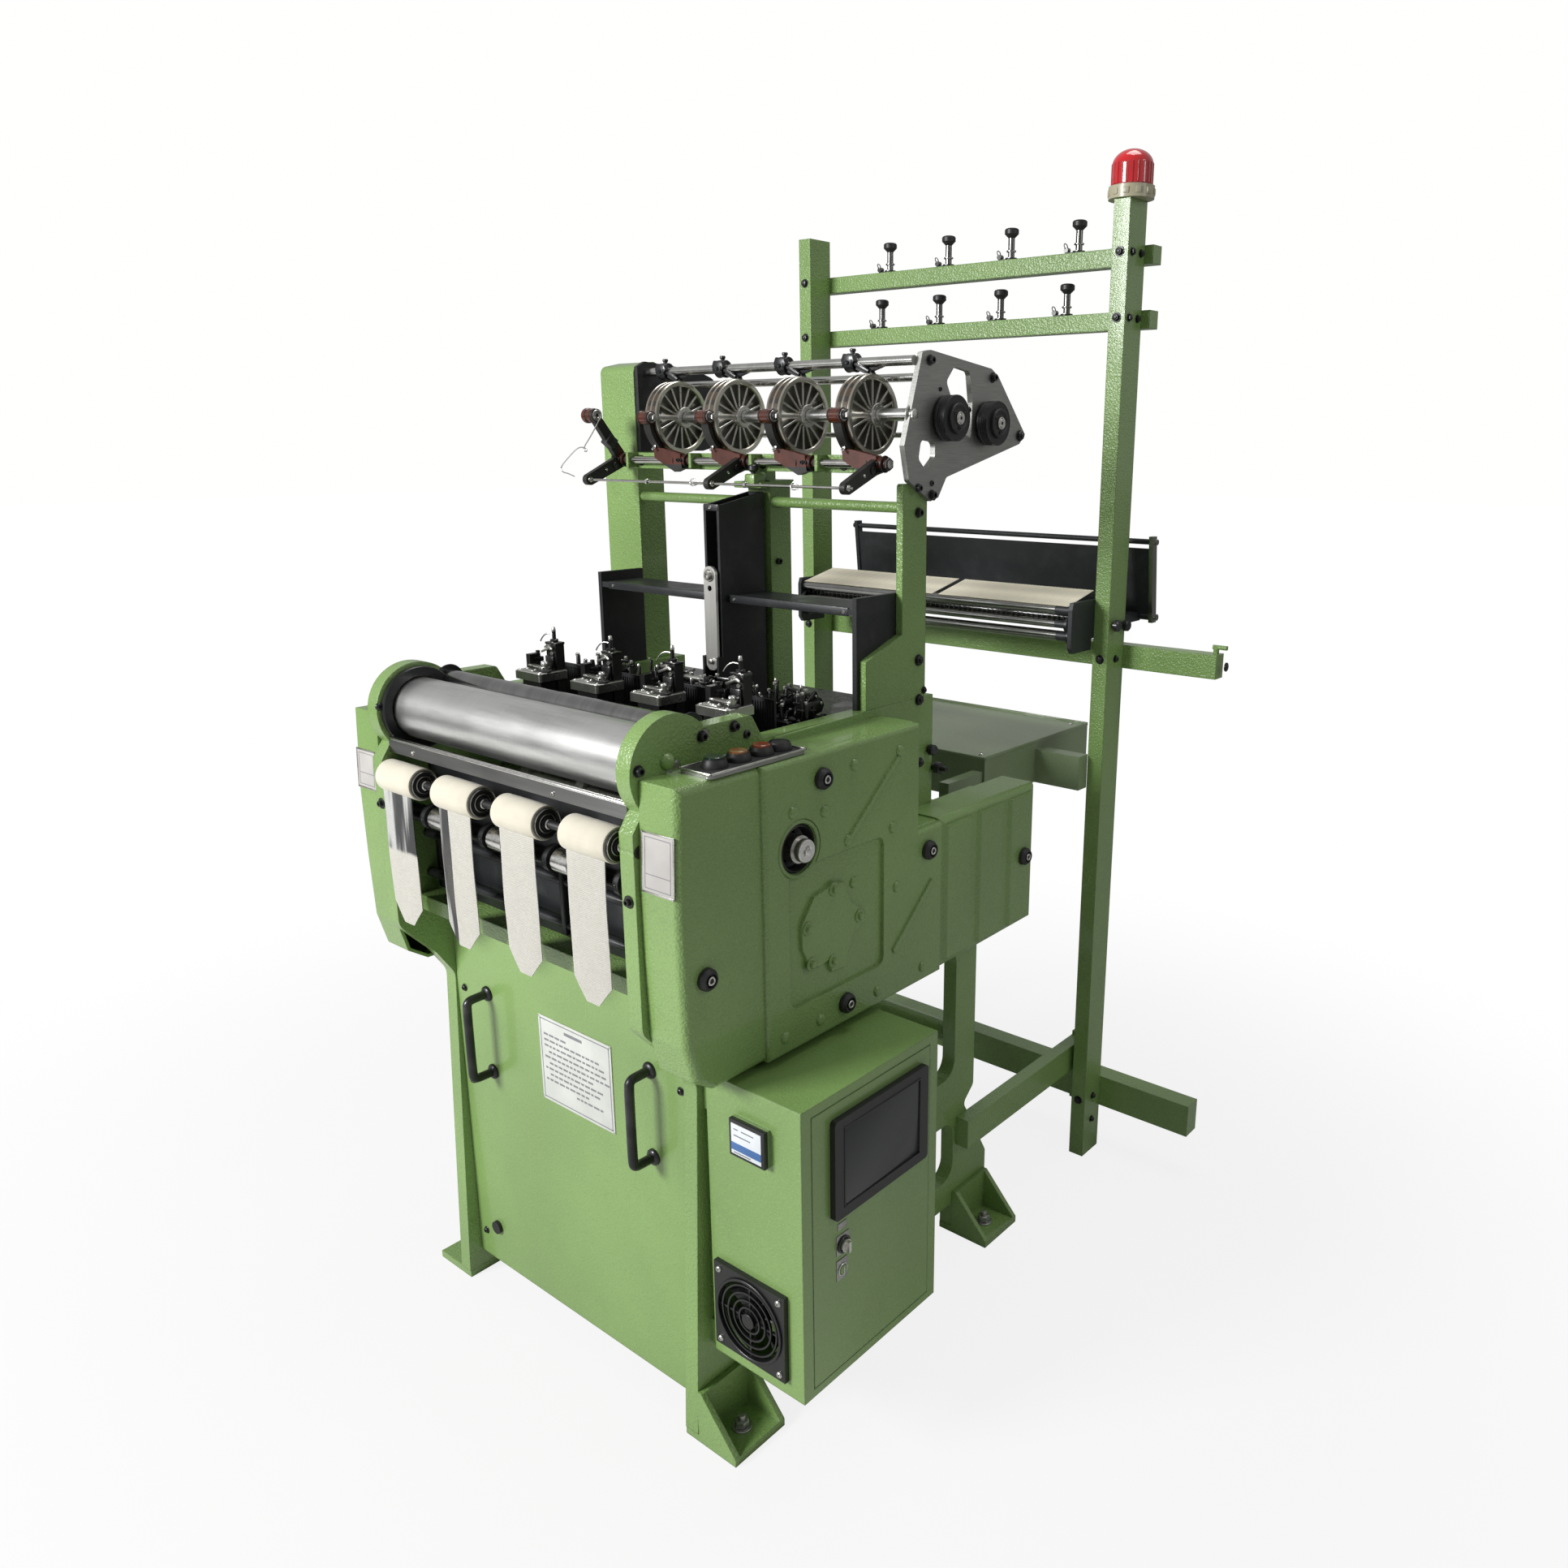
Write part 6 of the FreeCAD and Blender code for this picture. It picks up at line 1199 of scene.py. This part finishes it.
# ---- the rear
def creel_details():
    """Bolts on the creel, the knobs by the right column and post, and the tensioners' collars and wires."""
    bolts = Bench("creel_bolts", "black")
    knobs = Bench("creel_knobs", "black")
    pins = Bench("tensioner_pins", "dark_steel")
    knobs.spun((FRAME_RIGHT, 186, 893), X,
               [(0, 26), (4, 26), (4.4, 16), (9.4, 15), (9.8, 6), (6, 3), (6, 0), (0, 0)], 24)
    knobs.spun((FRAME_RIGHT, 172, 925), X, [(0, 14), (7, 14), (8.6, 12), (8.8, 4), (5, 2), (5, 0), (0, 0)], 24)
    for y, z in ((676, 1071), (640, 1074)):
        knobs.spun((POST_SIDE, y, z), X, [(0, 14), (8, 14), (10.4, 12), (10.8, 5), (6, 3), (5, 0), (0, 0)], 24)
    rail_bolts = [(y, z) for z in RAILS_Z for y in (640, 670)]
    for x, out in POST_SIDES:
        for y, z in rail_bolts + [(655, 1011), (655, 124), (655, 72)]:
            bolts.hex_bolt((x, y, z), out, 5.2)
    bolts.spun((edge("creel_mid_rail", 0, 1) - 0.5, 700, MID_RAIL_Z), X, [(0, 3), (6, 3), (8, 2), (8, 0), (0, 0)], 24)
    hook = ((-24, -4, 8), (-27, -7, 13), (-24, -10, 18), (-19, -8, 15), (-20, -5, 10))
    for z, first in PIN_ROWS:
        for k in range(4):
            spot = Vector((first + 142 * k, PIN_Y, z))
            pins.ring(spot + 14 * Z, Z, 6.1, 9, 3, 0.8, 28)
            pins.wire([spot + Vector(step) for step in hook], 0.9)
            knobs.spun(spot + 51.6 * Z, Z, [(0, 3.6), (8, 3.4), (11.4, 2.2), (12.6, 0.2), (12.6, 0), (0, 0)], 28)


def beacon_ribs():
    """The vertical ribs inside the beacon's lens, its seam and the notched ring below."""
    ribs = Bench("beacon_inner_ribs", "lens_rib")
    for turn in range(24):
        spot = turned((BEACON_X, BEACON_Y, 1804), math.tau * turn / 24, "Z")
        ribs.block((32.8, -1.2, 3), (34.7, 1.2, 35), 0.5, spot, 1)
    ribs.ring((BEACON_X, BEACON_Y, 1804.4), Z, 30, 35, 2.6, 0.8, 56)
    ring = Bench("beacon_ring_notches", "cream_plastic")
    for turn in range(12):
        spot = turned((BEACON_X, BEACON_Y, 1784), math.tau * (turn + 0.5) / 12, "Z")
        ring.block((36.5, -4.4, 5), (39.6, 4.4, 15), 0.8, spot)
    ring.ring((BEACON_X, BEACON_Y, 1800), Z, 33, 36.6, 4.6, 1, 56)


def table_edges():
    """A folded lip round the table, and the bolts of its stays."""
    lip = Bench("table_lip", "table_paint")
    for a, b, c, d in border(-TABLE_X, TABLE_X, TABLE_FRONT, TABLE_BACK, 4, 4):
        lip.block((a, c, TABLE_Z - 7), (b, d, TABLE_Z), 1.6)
    bolts = Bench("table_bolts", "bright_steel")
    for x in (-205, 205):
        for y in (450, 764):
            bolts.screw((x, y, TABLE_Z - 4), Z, 5)


def warp_sheet(k):
    """A sheet of yarns lying over the front bar of the stop motion."""
    low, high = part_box("warp_sheets")
    middle, y0, y1 = 22.0, low[1] / MM, high[1] / MM
    x0, x1 = (low[0] / MM, middle - 7) if k == 0 else (middle + 7, high[0] / MM)
    z0, z1, yarns = 1114.0, 1134.0, 150
    sheet = bmesh.new()
    bmesh.ops.create_grid(sheet, x_segments=yarns, y_segments=8, size=0.5)
    for v in sheet.verts:
        u, w = v.co.x + 0.5, v.co.y + 0.5
        yarn = round(u * yarns)
        lift = 0.45 if yarn % 2 else -0.25
        end = 0.8 * math.sin(yarn * 1.7 + k)
        v.co = (x0 + (x1 - x0) * u + end * 0.3, y0 + (y1 - y0) * w, z0 + (z1 - z0) * w + lift + 0.25 * end * w)
    bmesh.ops.recalc_face_normals(sheet, faces=sheet.faces)
    bmesh.ops.solidify(sheet, geom=sheet.faces, thickness=1.2)
    cloth = Bench(f"warp_sheet_{k + 1}", "warp", "frame", "warp_sheets", 60)
    cloth.add(sheet)
    cloth.done()


def stop_motion_details():
    """Clamp collars at the ends of the stop motion's bars, and two rows of drop pins."""
    dark = Bench("stop_motion_collars", "black")
    bright = Bench("drop_pin_rows", "dark_steel")
    x0, x1 = edge("warp_sheets", 0, 0), edge("warp_sheets", 0, 1)
    for y, z in ((557, 1080), (565, 1058), (597, 1086)):
        for x in (x0 - 3, x1 - 5):
            dark.ring((x, y, z), X, 9.2, 14, 8, 1.2, 32)
    count, z = 56, 1092
    for row, y in enumerate((572, 586)):
        bright.bar((x0, y, z), (x1, y, z), 2.6, None, 0.5, 12)
        for i in range(count):
            x = x0 + 8 + (x1 - x0 - 16) * (i + 0.5 * row) / count
            bright.block((x - 0.6, y - 3.6, z - 20), (x + 0.6, y + 3.6, z + 8), 0.25, None, 1)


def foot_bolts():
    """A hexagon floor bolt and washer in each foot."""
    bolts = Bench("floor_bolts", "plate_alloy")
    for x in (328.5, -340.5):
        for y in (-311, 311):
            bolts.ring((x, y, 12), Z, 7, 15, 2.6, 0.7, 32)
            bolts.nut((x, y, 14.6), Z, 11, 10.4, 1.2)
            bolts.bar((x, y, 25), (x, y, 33), 6.4, 5.8, 0.8, 18)


# ---- all of it, in order
for make in (drum_end_rings, nose_screws, roll_hubs, guide_sleeves, inner_shield, cheek_screws, cover_bosses,
             shaft_eye, plug_rims, side_plates, switch_boots, button_caps, panel_grips, instruction_plate, box_face,
             door_fittings, fan_screws, wheel_rims, shaft_end, lever_ends, bent_wires, clamp_fittings, head_bolts,
             pulley_faces, mid_column_top, fastener_heads, weft_faces, needle_clamps, finger_blocks, shed_linkage,
             bed_edges, guide_fittings, creel_details, beacon_ribs, table_edges, stop_motion_details, foot_bolts):
    make()
    for piece in Bench.begun[:]:
        piece.done()
for k in range(len(TAPES)):
    roll_cloth(k)
    tape(k)
for k in range(2):
    warp_sheet(k)


# ---- camera, floor and light
def linked(name, data):
    made = bpy.data.objects.new(name, data)
    bpy.context.collection.objects.link(made)
    return made


def area_lamp(name, at, target, size, size_y, energy):
    """A soft rectangular lamp turned to its target."""
    data = bpy.data.lights.new(name, "AREA")
    data.shape, data.size, data.size_y, data.energy = "RECTANGLE", size, size_y, energy
    lamp = linked(name, data)
    lamp.location = at
    lamp.rotation_euler = (Vector(target) - Vector(at)).to_track_quat("-Z", "Y").to_euler()


def set_camera():
    """The photograph's viewing angle: 38.78 degrees round, 14.85 down."""
    data = bpy.data.cameras.new("view")
    data.sensor_width, data.lens = 36.0, 28.07
    data.shift_x, data.shift_y = -0.0613, -0.0124
    camera = linked("view", data)
    camera.location = (1.4024, -1.3320, 1.3951)
    turn = (Matrix.Rotation(math.radians(38.78), 4, "Z") @ Matrix.Rotation(math.radians(90 - 14.85), 4, "X")
            @ Matrix.Rotation(math.radians(0.16), 4, "Z"))
    camera.rotation_euler = turn.to_euler()
    bpy.context.scene.camera = camera


def set_floor():
    """A pale floor that shows white away from the machine, so that no horizon is seen."""
    shape = bmesh.new()
    bmesh.ops.create_grid(shape, x_segments=1, y_segments=1, size=30.0)
    mesh = bpy.data.meshes.new("floor")
    shape.to_mesh(mesh)
    shape.free()
    floor = linked("floor", mesh)
    f = Finish("pale_floor")
    seen = f.add("ShaderNodeLightPath", out="Is Camera Ray")
    far = (f.x ** 2 + f.y ** 2) ** 0.5
    dull = f.add("ShaderNodeBsdfDiffuse", None, {"Color": rgb(0.68, 0.68, 0.67)})
    glow = f.add("ShaderNodeEmission", None, {"Color": rgb(1, 1, 1)})
    blend = f.add("ShaderNodeMixShader", None, {0: seen * (far.ramp(0.9, 2.2) * 0.16 + 0.84), 1: dull, 2: glow})
    f.feed(f.tree.nodes["Material Output"].inputs["Surface"], blend)
    f.tree.nodes.remove(f.shader)
    mesh.materials.append(f.material)


def set_world():
    """Soft white all round, full white where the camera looks at it and a quarter of it in reflections."""
    world = bpy.data.worlds.new("studio")
    bpy.context.scene.world = world
    world.use_nodes = True
    w = Nodes(world.node_tree)
    seen = w.add("ShaderNodeLightPath", out="Is Camera Ray")
    mirrored = w.add("ShaderNodeLightPath", out="Is Glossy Ray")
    back = w.tree.nodes["Background"]
    w.feed(back.inputs["Strength"], seen.most(mirrored * 0.26) * 0.80 + 0.20)
    w.feed(back.inputs["Color"], rgb(1.0, 1.0, 0.99))


set_camera()
set_floor()
set_world()
area_lamp("key", (-1.2, -3.6, 2.4), (0, -0.1, 0.8), 1.3, 1.1, 190)
area_lamp("top", (0.3, 0.8, 4.2), (0, 0, 0.8), 1.6, 1.6, 34)
area_lamp("glint", (2.9, 0.9, 2.6), (0.35, 0, 0.8), 0.5, 1.2, 9)
bpy.context.scene.view_settings.view_transform = "Standard"
